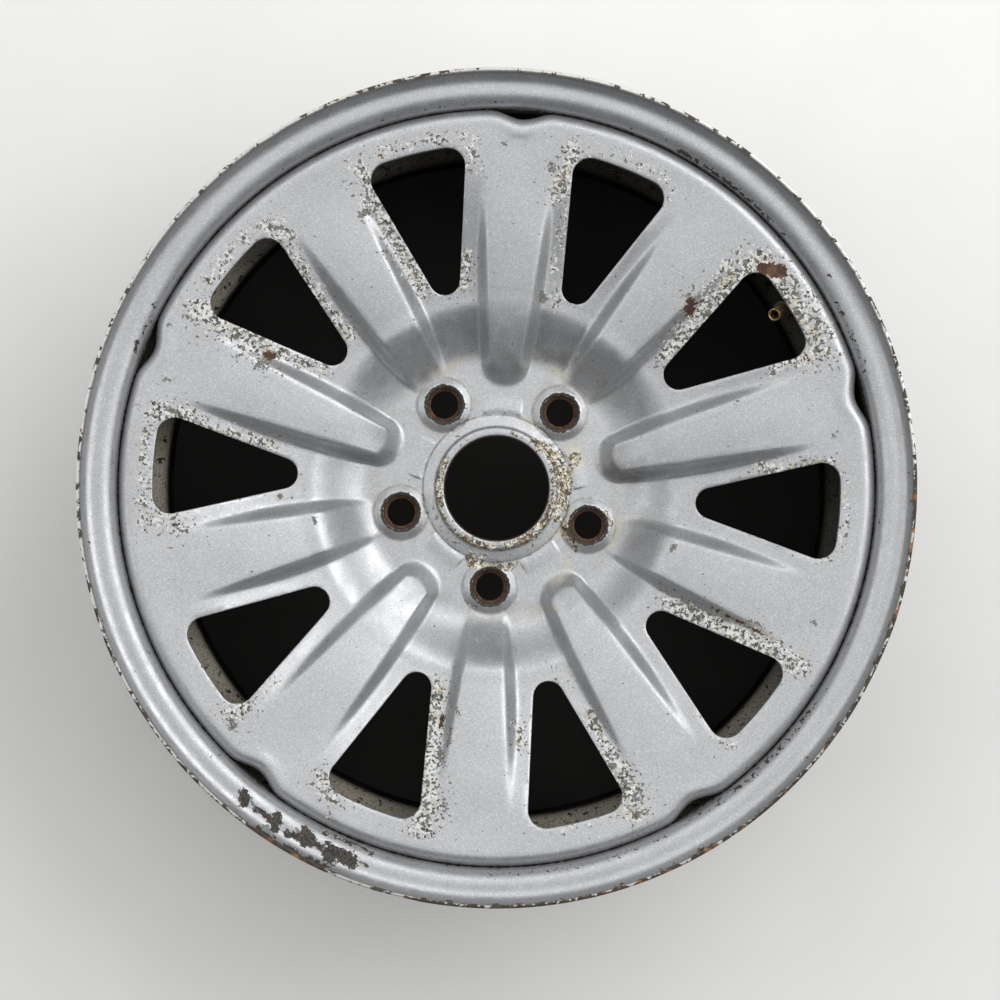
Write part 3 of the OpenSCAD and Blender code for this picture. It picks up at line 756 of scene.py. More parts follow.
def body_mesh():
    """The valve's rubber body, with a rounded bulge and two low rings."""
    tail_h, slack, top_z = 5, 0.25, VALVE_REACH - STEM_BARE
    foot_z, shoulder_r, socket_r = -RIM_T - slack, BODY_END_R - 0.35, STEM_R + 0.05
    low = foot_z - tail_h
    profile = [
        (STEM_BORE_R, low), (BODY_R - 1.5, low), (BODY_R - 0.6, low + 0.3), (BODY_R, low + 1.2),
        (BODY_R, foot_z - slack), (BODY_R - 0.3, foot_z), (NECK_R, foot_z), (NECK_R, slack),
        (BODY_R - 0.4, 0.35), (BODY_R, 0.7), (BODY_R, 3.2), (BODY_R - 0.25, 3.7),
        (BODY_R - 0.9, 5.5), (BODY_R - 1.1, 6), (BODY_R - 1.0, 6.5), (BODY_R - 1.35, 7.2),
        (BODY_END_R + 0.4, 11), (BODY_END_R, 13.4), (BODY_END_R, 15), (shoulder_r, 15.5),
        (shoulder_r, 16.4), (BODY_END_R, 16.9), (BODY_END_R, top_z - 1), (BODY_END_R - 0.3, top_z - 0.3),
        (BODY_END_R - 1, top_z), (socket_r, top_z), (socket_r, -4), (STEM_BORE_R, -4.2),
    ]
    points, rows = turned(profile, 72)
    return to_valve(points), strip(rows, loop=True)


def stem_mesh():
    """The brass stem with its rolled thread, its bevelled mouth and its bore."""
    tip, thread_from = VALVE_REACH, VALVE_REACH - STEM_BARE + 1.5
    pitch, depth, low = 0.79, 0.34, -5.3
    heights = [low, 0.0, 8.0, 16.0, thread_from - 0.4, *np.arange(thread_from, tip - 0.5, pitch / 6)]
    profile = [(STEM_BORE_R, low)] + [(STEM_R, z) for z in heights]
    profile += [(STEM_R - 0.35, tip - 0.15), (STEM_R - 0.55, tip), (STEM_BORE_R + 0.45, tip),
                (STEM_BORE_R + 0.1, tip - 0.5), (STEM_BORE_R, tip - 1.2), (STEM_BORE_R, 20), (STEM_BORE_R, 5)]
    points, rows = turned(profile, 64)
    r, z = from_axis(points), points[:, 2]
    angle = np.arctan2(points[:, 1], points[:, 0]) / (2 * math.pi)
    threaded = (r > STEM_R - 0.01) & (z >= thread_from - 1e-6) & (z < tip - 0.4)
    wave = np.abs(((z / pitch - angle) % 1) - 0.5) * 2
    cut = np.where(threaded, depth * ease((z - thread_from) / 0.6) * wave, 0)
    points[:, :2] *= (1 - cut / r)[:, None]
    return to_valve(points), strip(rows, loop=True)


# ---------------------------------------------------------------- wear and painted shade, as masks on the vertices

# Strokes of damage: (angle, r, angle, r, reach, strength).
CRUST = [
    # window at 0
    (8.5, 190, 8, 150, 4.5, 0.8), (6, 198, -7, 198, 4, 0.5), (-8.3, 192, -8.5, 186, 4, 0.5),
    # window at 36
    (45, 190, 44.6, 150, 8, 1), (44.6, 150, 42, 122, 6, 0.9), (45, 198, 27, 199, 8, 1),
    (40, 205, 29, 207, 5, 0.8), (27, 190, 27.5, 172, 6, 0.8), (48.5, 190, 47.5, 160, 5, 0.6),
    # window at 72
    (81, 196, 82, 170, 7, 0.9), (80.5, 170, 79, 130, 4, 0.6), (79, 201, 64, 199, 5, 0.5),
    (77.5, 118, 76, 110, 6, 0.5), (63.3, 190, 63.3, 180, 4, 0.4),
    # window at 108
    (117, 196, 117.5, 175, 7, 0.9), (117, 170, 114.5, 122, 6, 0.9), (112, 201, 99, 200, 5, 0.6),
    (98.3, 196, 98, 182, 6, 0.7), (101.5, 132, 104.5, 118, 6, 0.8),
    # window at 144
    (153, 197, 153, 150, 8, 1), (152.5, 150, 149.5, 120, 5, 0.8), (148, 201, 137, 201, 6, 0.62),
    (135, 195, 136.5, 150, 6, 0.8), (136.5, 150, 138, 122, 5, 0.8), (133.5, 196, 133, 185, 6, 0.6),
    # window at 180
    (189, 199, 191, 180, 7, 0.8), (190, 176, 189.5, 168, 5, 0.6), (186, 200, 173, 201, 5, 0.7),
    (171.5, 197, 171, 182, 7, 1), (171.5, 180, 173, 132, 4.5, 0.8), (186.5, 125, 185, 118, 5, 0.5),
    # window at 216
    (224.5, 198, 225, 190, 7, 0.9), (224.5, 185, 224.5, 165, 4, 0.5), (210, 199, 208, 197, 3, 0.4),
    # window at 252
    (261.5, 198, 261.5, 175, 8, 1), (261, 175, 257.5, 120, 6, 1), (246.5, 198, 243, 192, 7, 0.9),
    # window at 288
    (297.5, 200, 298, 180, 8, 1), (297.5, 178, 296, 140, 5, 0.9), (294, 118, 292, 108, 6, 0.4),
    (279.7, 145, 279.7, 138, 5, 0.9), (293, 199, 283, 198, 2.5, 0.4),
    # window at 324
    (333.6, 198, 333, 165, 7, 1), (332.6, 162, 330.2, 118, 6, 1), (317, 196, 316, 184, 6, 0.6),
    (326, 196.5, 325, 196, 2, 0.5),
]
RUST = [
    (43.5, 195.6, 41.2, 202.2, 4.3, 1), (47.6, 153, 46.6, 149, 4, 0.8), (153.9, 151, 153.6, 149, 3.2, 0.9),
    (82.3, 181, 81.5, 176, 2.5, 0.6), (260.8, 139, 260.6, 133, 2.4, 0.6), (26.6, 192, 26.9, 189, 3, 0.7),
    (113.8, 201, 113.5, 198, 2.2, 0.9), (46, 180, 45.6, 172, 3, 0.5), (335.4, 178, 335, 140, 2.4, 0.5),
    (-27, 46, -30, 53, 3.2, 0.62), (16, 44, 22, 40, 2.6, 0.5),
]
PEEL = [
    (156.8, 153, 155, 149, 4, 0.8), (157, 166, 156.5, 162, 3, 0.7), (120.5, 173, 118.8, 173, 3, 0.9),
    (119.5, 149, 118.8, 148, 2.5, 0.8), (84.8, 187, 84.2, 183, 3.4, 0.8), (80.6, 113, 80.4, 112, 3.4, 1),
    (247.5, 208, 247.2, 206.5, 3, 0.9), (226, 201, 225.3, 199, 3.4, 0.9),
    (262.5, 158, 261.6, 152, 3.2, 0.8), (263.5, 148, 263.2, 140, 2.6, 0.7),
    (264.5, 131, 263.8, 128, 2.2, 0.7), (264.8, 186, 264.4, 180, 2.8, 0.8),
    (298.8, 193, 298.2, 191, 3.6, 0.9), (345.8, 106.5, 345, 106, 2.4, 1),
    (194.2, 105.6, 193.8, 105.6, 2.4, 1), (336.8, 172, 336.6, 160, 2.2, 0.7), (50, 160, 49, 154, 2.2, 0.8),
    (341, 195, 340.8, 194.6, 2.2, 1), (157.5, 207, 157.6, 206.6, 2.4, 0.9),
    (92.8, 195.5, 92.7, 194.8, 1.8, 1), (86.9, 204, 86.6, 202, 1.6, 1), (166, 198.5, 165.7, 195, 2, 0.9),
    (23.6, 145, 23.6, 144, 2, 0.8), (35, 210.5, 34, 209.8, 2.5, 0.6), (13, 194, 12.6, 192.5, 2.5, 0.8),
]
GRIME = [
    (75, 82, 64, 84, 7, 0.55), (120, 76, 130, 78, 6, 0.3), (43, 82, 48, 86, 5, 0.25),
    (345, 84, 352, 88, 5, 0.3),
]
STAIN = [
    (8, 81, 13.5, 72, 4.5, 0.8), (12, 66, 15, 69, 4, 0.6), (14, 84, 15, 76, 4, 0.4),
]
# Caked rust and dirt round the bore and the lug seats.
SCAB = [
    (-62, 33.5, -20, 34, 3.6, 0.8), (-20, 37, 12, 39.5, 4.6, 0.95), (12, 39, 40, 38, 4.2, 1),
    (40, 36, 56, 34.5, 3, 0.8), (20, 45, 26, 49, 3.6, 0.7), (-24, 45, -30, 49, 3.4, 0.8),
    (-30, 52, -33, 58, 3, 0.55), (262, 44, 252, 42, 3.6, 0.6), (252, 45.5, 290, 46, 3, 0.55),
    (190, 34, 238, 34, 3.2, 0.56), (238, 34, 300, 33.8, 3.2, 0.62), (196, 38.5, 330, 38.5, 3, 0.3),
    (152, 33.6, 190, 33.6, 2.8, 0.7), (56, 44.5, 62, 43.5, 2.4, 0.4), (118, 44.5, 126, 43.5, 2.2, 0.4),
    (259, 68, 266, 70, 2.2, 0.4), (346, 70, 352, 64, 2.4, 0.5),
]
CREAM = [
    (-24, 48, -14, 47, 5, 0.7), (22, 50, 32, 50, 5, 0.6), (306, 64, 318, 61, 4, 0.5),
    (60, 43, 72, 43, 3, 0.45), (196, 44, 215, 45, 3, 0.4), (338, 74, 350, 74, 4, 0.5),
    (285, 74, 300, 75, 4, 0.45), (62, 75, 70, 75, 4, 0.5), (112, 75, 122, 75, 4, 0.5),
    (250, 45, 290, 46, 3.5, 0.5), (326, 44, 336, 46, 3, 0.6),
]
# Flaked paint on the rim's flange, and rust on its lip.
FLAKES = [
    (252.8, 225.5, 251.6, 224.5, 4.8, 1), (251, 222.6, 250.4, 222.8, 2.6, 0.9),
    (249.9, 228.5, 249.3, 224.5, 4.2, 1), (248.9, 221.8, 248.6, 221.4, 1.8, 0.9),
    (247.7, 224.6, 246.7, 224.8, 2.2, 0.95), (246.1, 224.6, 245, 221.6, 4, 1),
    (245.6, 227.5, 245, 226.4, 2.4, 0.9), (243.9, 226, 242.9, 227.6, 2.3, 1),
    (240.8, 228.5, 240.4, 223.6, 3.3, 1), (240, 222, 239.8, 220.6, 2, 0.9),
    (239, 225.6, 236.9, 224.8, 1.8, 0.85), (237.2, 227.4, 236.9, 227, 1.4, 0.8),
    (235.2, 226.5, 234.5, 223.6, 4, 1), (254.8, 224.6, 254.4, 224, 1.7, 0.9),
    (248.2, 227.8, 248, 227.4, 1.5, 0.9), (36.5, 222, 36.4, 221.5, 1.5, 0.7),
    (348.4, 222, 348.4, 220.5, 1.5, 0.8),
]
FLAKES_GREY = [
    (249.2, 233.6, 247.9, 233, 2.4, 1), (240.2, 232.8, 239.9, 231.4, 3, 1),
    (246.6, 222.4, 246.4, 222.2, 1.2, 0.9), (248.4, 221.9, 248.2, 221.7, 1, 0.9),
    (243.8, 222.6, 243.6, 222.4, 1.1, 0.9), (236.2, 224.5, 236, 224.3, 1, 0.9),
]
LIP_RUST = [
    (238, 235, 250, 235, 3.5, 1), (262, 235.5, 315, 235.5, 2.4, 0.85), (315, 235.5, 369, 235.5, 2.4, 0.85),
    (196, 235.5, 237, 235.5, 1.8, 0.6), (176, 235.5, 180, 235.5, 2.2, 0.8),
    (150, 235.5, 168, 235.5, 2, 0.45), (96, 235.5, 122, 235.5, 2, 0.5), (9, 235.5, 30, 235.5, 2, 0.5),
    (54, 235.5, 72, 235.5, 2, 0.35),
]
# Dirt and painted shade in the gap between the rim and the disc.
CREVICE = [
    (49, 216, 66, 216, 1.7, 0.8), (247, 217, 255, 217, 2.4, 0.6), (305, 217, 330, 217, 2.4, 0.5),
    (44, 216.2, 56, 216.2, 1.6, 0.5), (156, 218.5, 163, 218.5, 2.6, 0.5), (21, 218, 33, 218, 2.4, 0.5),
    (268, 218, 300, 218, 2, 0.35), (92, 217.5, 112, 217.5, 2, 0.3),
]


HALO = 2.4  # how much wider than its crust the scattered specks reach
# The bearing of the side where the rim's inside is darkest, with painted shade.
SHADE_ANGLE = 50


def strokes(points, rows):
    """The strongest stroke at each point: each fades out over its reach from its line."""
    total = np.zeros(len(points))
    for a0, r0, a1, r1, reach, strength in rows:
        a = np.radians(np.linspace(a0, a1, max(2, int(abs(a1 - a0) / 3))))
        r = np.linspace(r0, r1, len(a))
        ends = np.column_stack([r * np.cos(a), r * np.sin(a)])
        for p, q in zip(ends, ends[1:]):
            line = q - p
            near = (np.abs(points[:, :2] - (p + q) / 2) < np.abs(line) / 2 + 3 * reach).all(axis=1)
            rel = points[near, :2] - p
            t = np.clip(rel @ line / max(1e-9, line @ line), 0, 1)
            away = np.linalg.norm(rel - t[:, None] * line, axis=1)
            total[near] = np.maximum(total[near], strength * np.exp(-((away / reach) ** 2)))
    return total


def band(values, centre, reach):
    """1 at the centre value, fading out over the reach to both sides."""
    return np.exp(-(((values - centre) / reach) ** 2))


def wear_disc(piece):
    """Masks of the disc's rust, crust and dirt, and of painted shade in its creases and at its edge."""
    points, normals = vertex_table(piece)
    r, z = from_axis(points), points[:, 2]
    theta = np.degrees(np.arctan2(points[:, 1], points[:, 0]))
    lug = np.min([from_axis(points, centre) for centre in LUGS], axis=0)
    by_hub = r < 80
    behind = ease((-normals[:, 2] - 0.1) / 0.5) * (r < ring_r + ROLL_R)
    wall = (r > edge_r - 4.2) & (z < edge_z - 1)
    hidden = np.maximum(behind, wall * 1.0)
    front = 1 - hidden
    at_window = np.exp(-np.maximum(0, window_distance(points[:, 0], points[:, 1])) / 2.0)
    wide_crust = [(*row[:4], row[4] * HALO, row[5]) for row in CRUST]
    round_bore = (0.46 - 0.16 * np.cos(np.radians(theta - 130))) * band(r, collar_r - 2.4, 2.3)
    cone = ease((CONE_R - 0.1 - lug) / 0.5) * by_hub
    bore = ease((BORE_R + 1.1 - r) / 0.6)
    # Painted shade with dirt: dark lines in the creases at the collar, the low ring and the bosses' feet, and
    # on the edge's wall beside the rim.
    lines = band(r, collar_r + 0.35, 0.45) + band(r, hub_ring_r + 0.15, 0.4)
    lines += 0.9 * band(lug, BOSS_R + 0.2, 0.5)
    deep_edge = ease((r - edge_r + 2.2) / 1.6) * ease((edge_z + 4.2 - z) / 2.5)
    low = 0.5 * band(lug, BOSS_R + 1.5, 3) + 0.35 * ease((84 - r) / 8) * (r > 66)
    set_masks(piece, {
        "crust": np.maximum(strokes(points, CRUST), 0.3 * at_window) * front,
        "halo": strokes(points, wide_crust) * front,
        "scab": np.maximum(strokes(points, SCAB), round_bore) * front,
        "rust": strokes(points, RUST) * front,
        "bare": np.maximum(cone, 0.95 * bore),
        "throat": ease((LUG_HOLE_R + 1.3 - lug) / 0.7) * by_hub,
        "chips": band(lug, CONE_R + 0.3, 1.15) * front * by_hub,
        "peel": strokes(points, PEEL) * front,
        "cream": strokes(points, CREAM) * front,
        "seam": np.maximum(np.clip(lines, 0, 1) * front, deep_edge),
        "stain": strokes(points, STAIN) * front,
        "grime": np.maximum(strokes(points, GRIME), 0.4 * low) * front,
        "hidden": hidden,
    })


def wear_rim(piece):
    """Masks of the rim's rust, flaked paint and dirt, and of painted shade inside it, in the gap beside the
    disc and at the lip.
    """
    points, normals = vertex_table(piece)
    r, z = from_axis(points), points[:, 2]
    street = ease((z - face_out_z + 6) / 3)
    inner_face = normals[:, 0] * points[:, 0] + normals[:, 1] * points[:, 1] < -0.15 * r
    barrel = inner_face & (z < 25)
    cut = ease((z - LIP_OUT_Z + 0.7) / 0.5) + ease((LIP_IN_Z + 0.7 - z) / 0.5)
    low_lip = ease((LIP_IN_Z + 4 - z) / 3)
    # Painted shade with dirt: a dark line deep in the gap between rim and disc, all round.
    in_gap = ease((edge_r + 0.9 - r) / 0.9) * (z > 20)
    by_disc = np.maximum(strokes(points, CREVICE), 0.2 * band(r, 217, 2.2)) * street
    # Painted shade: the rim's inside goes darker towards SHADE_ANGLE, and darker deeper down, where it is
    # partly brake dust.
    shade = 0.5 + 0.5 * np.cos(np.arctan2(points[:, 1], points[:, 0]) - math.radians(SHADE_ANGLE))
    depth = np.maximum(ease((well_out_z + 6 - z) / 22), 0.85 * ease(2 * shade - 0.7))
    tyre_side = (~inner_face & (z < face_out_z - 4) & (z > face_in_z + 4)) * 1.0
    seats = band(z, face_out_z - 8, 9) + band(z, face_in_z + 8, 9)
    set_masks(piece, {
        "flake": strokes(points, FLAKES) * street,
        "flake_grey": strokes(points, FLAKES_GREY) * street,
        "cut": cut,
        # Painted shade: a dark line on the inner corner of the lip's cut edge.
        "lip_corner": cut * ease((LIP_R - RIM_T + 0.75 - r) / 0.6),
        "lip_rust": np.maximum(strokes(points, LIP_RUST) * street, 0.6 * low_lip),
        "crevice": np.maximum(by_disc, in_gap),
        "dust": barrel * 1.0,
        "depth": np.where(barrel, depth, 0),
        "tyre_side": tyre_side,
        "seat": np.clip(seats, 0, 1) * tyre_side,
    })


# ---------------------------------------------------------------- materials

class Finish:
    """One procedural material, built node by node. Sizes of features are in millimetres."""

    def __init__(self, name):
        self.material = bpy.data.materials.new(name)
        self.material.use_nodes = True
        self.tree = self.material.node_tree
        self.tree.nodes.clear()
        self.shader = self.tree.nodes.new("ShaderNodeBsdfPrincipled")
        output = self.tree.nodes.new("ShaderNodeOutputMaterial")
        self.tree.links.new(self.shader.outputs[0], output.inputs[0])
        self.coords = self.node("TexCoord", {}, "Object")
        self.colour = None
        self.relief = 0.0

    def link(self, value, socket):
        """Feeds a socket with another node's output, a number or a colour."""
        if isinstance(value, bpy.types.NodeSocket):
            self.tree.links.new(value, socket)
        elif isinstance(value, tuple) and len(socket.default_value) == 4:
            socket.default_value = (*value, 1)
        else:
            socket.default_value = value

    def node(self, kind, inputs, output=0, **settings):
        """Adds a node with its settings and what feeds its inputs, and gives one of its outputs."""
        node = self.tree.nodes.new("ShaderNode" + kind)
        for name, value in settings.items():
            setattr(node, name, value)
        for socket, value in inputs.items():
            self.link(value, node.inputs[socket])
        return node.outputs[output]

    def noise(self, size, detail=3.0, roughness=0.5, stretch=None):
        """Noise with features of the given size. A stretch shrinks them along X, Y and Z."""
        where = self.node("Mapping", {"Scale": stretch, "Vector": self.coords}) if stretch else self.coords
        inputs = {"Scale": 1 / (size * MM), "Detail": detail, "Roughness": roughness, "Vector": where}
        return self.node("TexNoise", inputs, "Fac")

    def cells(self, size):
        """One random number for each cell of the given size."""
        colour = self.node("TexVoronoi", {"Scale": 1 / (size * MM), "Vector": self.coords}, "Color")
        return self.node("SeparateColor", {0: colour})

    def mask(self, name):
        """A number stored on the vertices by set_masks()."""
        return self.node("Attribute", {}, "Fac", attribute_name=name)

    def calc(self, operation, a, b=0.0, c=0.0):
        """One step of arithmetic."""
        return self.node("Math", {0: a, 1: b, 2: c}, operation=operation)

    def both(self, a, b):
        """The product of two shares."""
        return self.calc("MULTIPLY", a, b)

    def without(self, share):
        """The rest of a share."""
        return self.calc("SUBTRACT", 1, share)

    def largest(self, *values):
        """The largest of the values at each place."""
        total = values[0]
        for value in values[1:]:
            total = self.calc("MAXIMUM", total, value)
        return total

    def step(self, value, low, high, start=0.0, end=1.0):
        """Goes smoothly from start to end as value goes from low to high."""
        inputs = dict(enumerate((value, low, high, start, end)))
        return self.node("MapRange", inputs, interpolation_type="SMOOTHSTEP")

    def spots(self, size, detail, low, high, start=0.0, end=1.0, roughness=0.5, stretch=None):
        """Noise that goes from start to end between two of its levels."""
        return self.step(self.noise(size, detail, roughness, stretch), low, high, start, end)

    def ragged(self, name, size, depth):
        """A mask with an edge made ragged by noise of the given size and strength."""
        shift = self.both(self.calc("SUBTRACT", self.noise(size, 3, 0.65), 0.5), depth)
        return self.calc("ADD", self.mask(name), shift)

    def patch(self, name, size, depth, low, high):
        """A ragged mask, sharpened between two of its levels."""
        return self.step(self.ragged(name, size, depth), low, high)

    def flecks(self, mask, size, sparse, dense, soft=0.02, detail=2, roughness=0.5):
        """Irregular flecks. Their noise level goes from sparse to dense as the mask grows."""
        level = self.step(mask, 0.0, 1.0, sparse, dense)
        return self.step(self.noise(size, detail, roughness), level, self.calc("ADD", level, soft))

    def mix(self, share, a, b):
        """A colour between a and b."""
        return self.node("Mix", {0: share, 6: a, 7: b}, 2, data_type="RGBA")

    def blend(self, share, a, b):
        """A number between a and b."""
        return self.node("Mix", {0: share, 2: a, 3: b}, data_type="FLOAT")

    def cover(self, share, colour, strength=1):
        """Lays a colour over what is there. A strength under 1 lets some of it show through."""
        if strength < 1:
            share = self.both(share, strength)
        self.colour = self.mix(share, self.colour, colour)

    def bump(self, height, depth):
        """Adds relief: a height of 1 stands depth millimetres proud."""
        self.relief = self.calc("MULTIPLY_ADD", height, depth, self.relief)

    def done(self, roughness, metallic):
        """Joins everything to the shader and gives the material."""
        normal = self.node("Bump", {"Distance": MM, "Strength": 1.0, "Height": self.relief})
        for value, name in ((self.colour, "Base Color"), (roughness, "Roughness"),
                            (metallic, "Metallic"), (normal, "Normal")):
            self.link(value, self.shader.inputs[name])
        return self.material


SILVER = (0.385, 0.392, 0.402)
SILVER_DEEP = (0.365, 0.371, 0.382)
FLAKE_BRIGHT = (0.62, 0.63, 0.64)
FLAKE_DEEP = (0.23, 0.233, 0.243)
CRUST_PALE = (0.62, 0.615, 0.585)
CRUST_WARM = (0.47, 0.43, 0.32)
CHIP_DARK = (0.030, 0.027, 0.020)
CHIP_OLIVE = (0.095, 0.091, 0.070)
PRIMER = (0.20, 0.207, 0.20)
PRIMER_PALE = (0.23, 0.24, 0.235)
PRIMER_DEEP = (0.12, 0.127, 0.122)
RUST_BROWN = (0.034, 0.015, 0.010)
RUST_LIGHT = (0.072, 0.032, 0.020)
RUST_TAN = (0.19, 0.10, 0.055)
RUST_RED = (0.15, 0.065, 0.03)
RUST_ORANGE = (0.25, 0.105, 0.04)
CAKE_OCHRE = (0.22, 0.14, 0.05)
CAKE_CREAM = (0.46, 0.41, 0.27)
CAKE_WHITE = (0.68, 0.67, 0.61)
CREAM_TINT = (0.47, 0.43, 0.31)
GRIME_OLIVE = (0.19, 0.17, 0.11)
STAIN_GREY = (0.09, 0.085, 0.075)
DIRT = (0.030, 0.027, 0.021)
BRAKE_DUST = (0.085, 0.076, 0.066)
DUST_BEIGE = (0.27, 0.25, 0.205)
DUST_SPOT = (0.15, 0.137, 0.11)
# Near-black of brake dust with painted shade, inside the rim.
DUST_AND_SHADE_BLACK = (0.006, 0.0055, 0.005)
SOOT_AND_SHADE = (0.016, 0.013, 0.011)
TYRE_SIDE_GREY = (0.15, 0.146, 0.138)
RUBBER_STREAK = (0.03, 0.029, 0.028)
STEEL_BLACK = (0.018, 0.016, 0.013)
STEEL_OLIVE = (0.062, 0.057, 0.045)
STEEL_RED = (0.075, 0.036, 0.03)
EDGE_PALE = (0.50, 0.495, 0.475)
EDGE_CHIP_AND_SHADE = (0.05, 0.042, 0.028)


def silver_finish(name):
    """The metallic paint shared by rim and disc, its roughness and a fine noise."""
    f = Finish(name)
    flake = f.cells(0.55)
    f.colour = f.mix(f.spots(38, 1, 0.35, 0.65), SILVER, SILVER_DEEP)
    f.cover(f.step(flake, 0.72, 1.0, 0, 0.42), FLAKE_BRIGHT)
    f.cover(f.step(flake, 0.28, 0.0, 0, 0.32), FLAKE_DEEP)
    f.bump(flake, 0.012)
    return f, f.spots(9, 1, 0.3, 0.7, 0.36, 0.46), f.noise(1.1, 1, 0.6)


def disc_finish():
    """The disc's silver paint under all its wear, with painted shade in its creases and at its edge."""
    f, rough, fine = silver_finish("worn_silver_disc")
    patches = f.noise(8, 2, 0.6)

    # pale, pitted corrosion beside the windows
    crust = f.ragged("crust", 6.5, 1.5)
    pale = f.both(f.flecks(crust, 2.2, 0.63, 0.44, 0.05, 3, 0.72), f.step(crust, 0.16, 0.4))
    f.cover(pale, f.mix(f.step(patches, 0.53, 0.66), CRUST_PALE, CRUST_WARM), 0.9)
    olive = f.both(f.flecks(crust, 3.6, 0.74, 0.565), f.step(crust, 0.1, 0.3))
    f.cover(olive, f.mix(fine, CHIP_OLIVE, PRIMER))
    dark = f.flecks(crust, 2.1, 0.74, 0.55)
    f.cover(dark, f.mix(f.step(patches, 0.4, 0.6), CHIP_DARK, CHIP_OLIVE), 0.92)
    rare = f.step(f.mask("halo"), 0.1, 0.9, 0.75, 0.625)
    specks = f.step(f.noise(2.4, 2), rare, f.calc("ADD", rare, 0.015))
    f.cover(specks, CHIP_OLIVE)

    # grey primer where the top coat peeled, with a dark rim
    peeled = f.ragged("peel", 1.9, 2.1)
    peel = f.step(peeled, 0.60, 0.64)
    peel_edge = f.both(peel, f.step(peeled, 0.76, 0.68))
    f.cover(peel, f.mix(f.step(fine, 0.3, 0.7), PRIMER, CHIP_OLIVE))
    f.cover(peel_edge, CHIP_DARK, 0.7)

    # old dirt: a cream film, grime and stains; dark lines in the creases and on the edge's wall, painted
    # shade with dirt
    cream = f.patch("cream", 6, 1.0, 0.1, 0.85)
    f.cover(cream, CREAM_TINT, 0.75)
    seam = f.both(f.mask("seam"), f.spots(3, 1, 0.3, 0.6, 0.45, 1))
    f.cover(seam, DIRT, 0.85)
    f.cover(f.both(f.mask("grime"), f.step(patches, 0.35, 0.65)), GRIME_OLIVE, 0.7)
    f.cover(f.both(f.mask("stain"), f.step(patches, 0.3, 0.6)), STAIN_GREY, 0.75)

    # caked rust at the hub: white, cream, brown and black grains
    scab = f.patch("scab", 3.2, 1.7, 0.44, 0.56)
    grain = f.noise(5.5, 5, 0.8)
    cake = DIRT
    for low, high, tint in ((0.40, 0.43, RUST_LIGHT), (0.43, 0.47, CAKE_OCHRE),
                            (0.47, 0.51, CAKE_CREAM), (0.51, 0.56, CAKE_WHITE)):
        cake = f.mix(f.step(grain, low, high), cake, tint)
    cake = f.mix(f.spots(2.2, 3, 0.52, 0.545, roughness=0.74), cake, DIRT)
    f.cover(scab, cake, 0.93)

    # brown rust patches, with a warm stain round them
    rusty = f.ragged("rust", 2.4, 1.4)
    rust = f.step(rusty, 0.45, 0.50)
    brown = f.mix(f.step(fine, 0.35, 0.65), RUST_BROWN, RUST_LIGHT)
    f.cover(rust, f.mix(f.step(patches, 0.52, 0.62, 0, 0.4), brown, RUST_TAN))
    stained = f.both(f.step(rusty, 0.15, 0.45), 0.45)
    f.cover(f.calc("SUBTRACT", stained, f.both(rust, 0.45)), CRUST_WARM)

    # bare, rusty cones and bore
    bare = f.patch("bare", 1.2, 0.7, 0.4, 0.5)
    rough_rust = f.noise(2.2, 2)
    cone = f.mix(f.step(rough_rust, 0.38, 0.62), RUST_BROWN, DIRT)
    cone = f.mix(f.step(fine, 0.60, 0.70, 0, 0.6), cone, RUST_ORANGE)
    cone = f.mix(f.both(f.mask("throat"), f.step(rough_rust, 0.35, 0.6)), cone, RUST_RED)
    f.cover(bare, cone)
    chips = f.patch("chips", 2.2, 1.6, 0.56, 0.62)
    f.cover(chips, DIRT)

    # hub side: thin paint under brake dust
    hidden = f.mask("hidden")
    f.cover(f.both(hidden, f.spots(26, 2, 0.3, 0.7, 0.45, 0.92, roughness=0.6)), BRAKE_DUST)
    f.cover(f.both(hidden, f.step(patches, 0.60, 0.66)), RUST_BROWN)

    coarse = f.largest(pale, dark, olive, specks, peel, scab, rust, bare, chips, hidden)
    dull = f.largest(coarse, f.both(f.largest(cream, seam), 0.7))
    f.bump(f.both(pale, f.step(fine, 0.2, 0.8)), 0.16)
    f.bump(f.without(dark), 0.18)
    f.bump(f.without(rust), 0.15)
    f.bump(f.both(scab, grain), 0.7)
    return f.done(f.blend(dull, rough, 0.8), f.blend(dull, 0.72, 0.05))


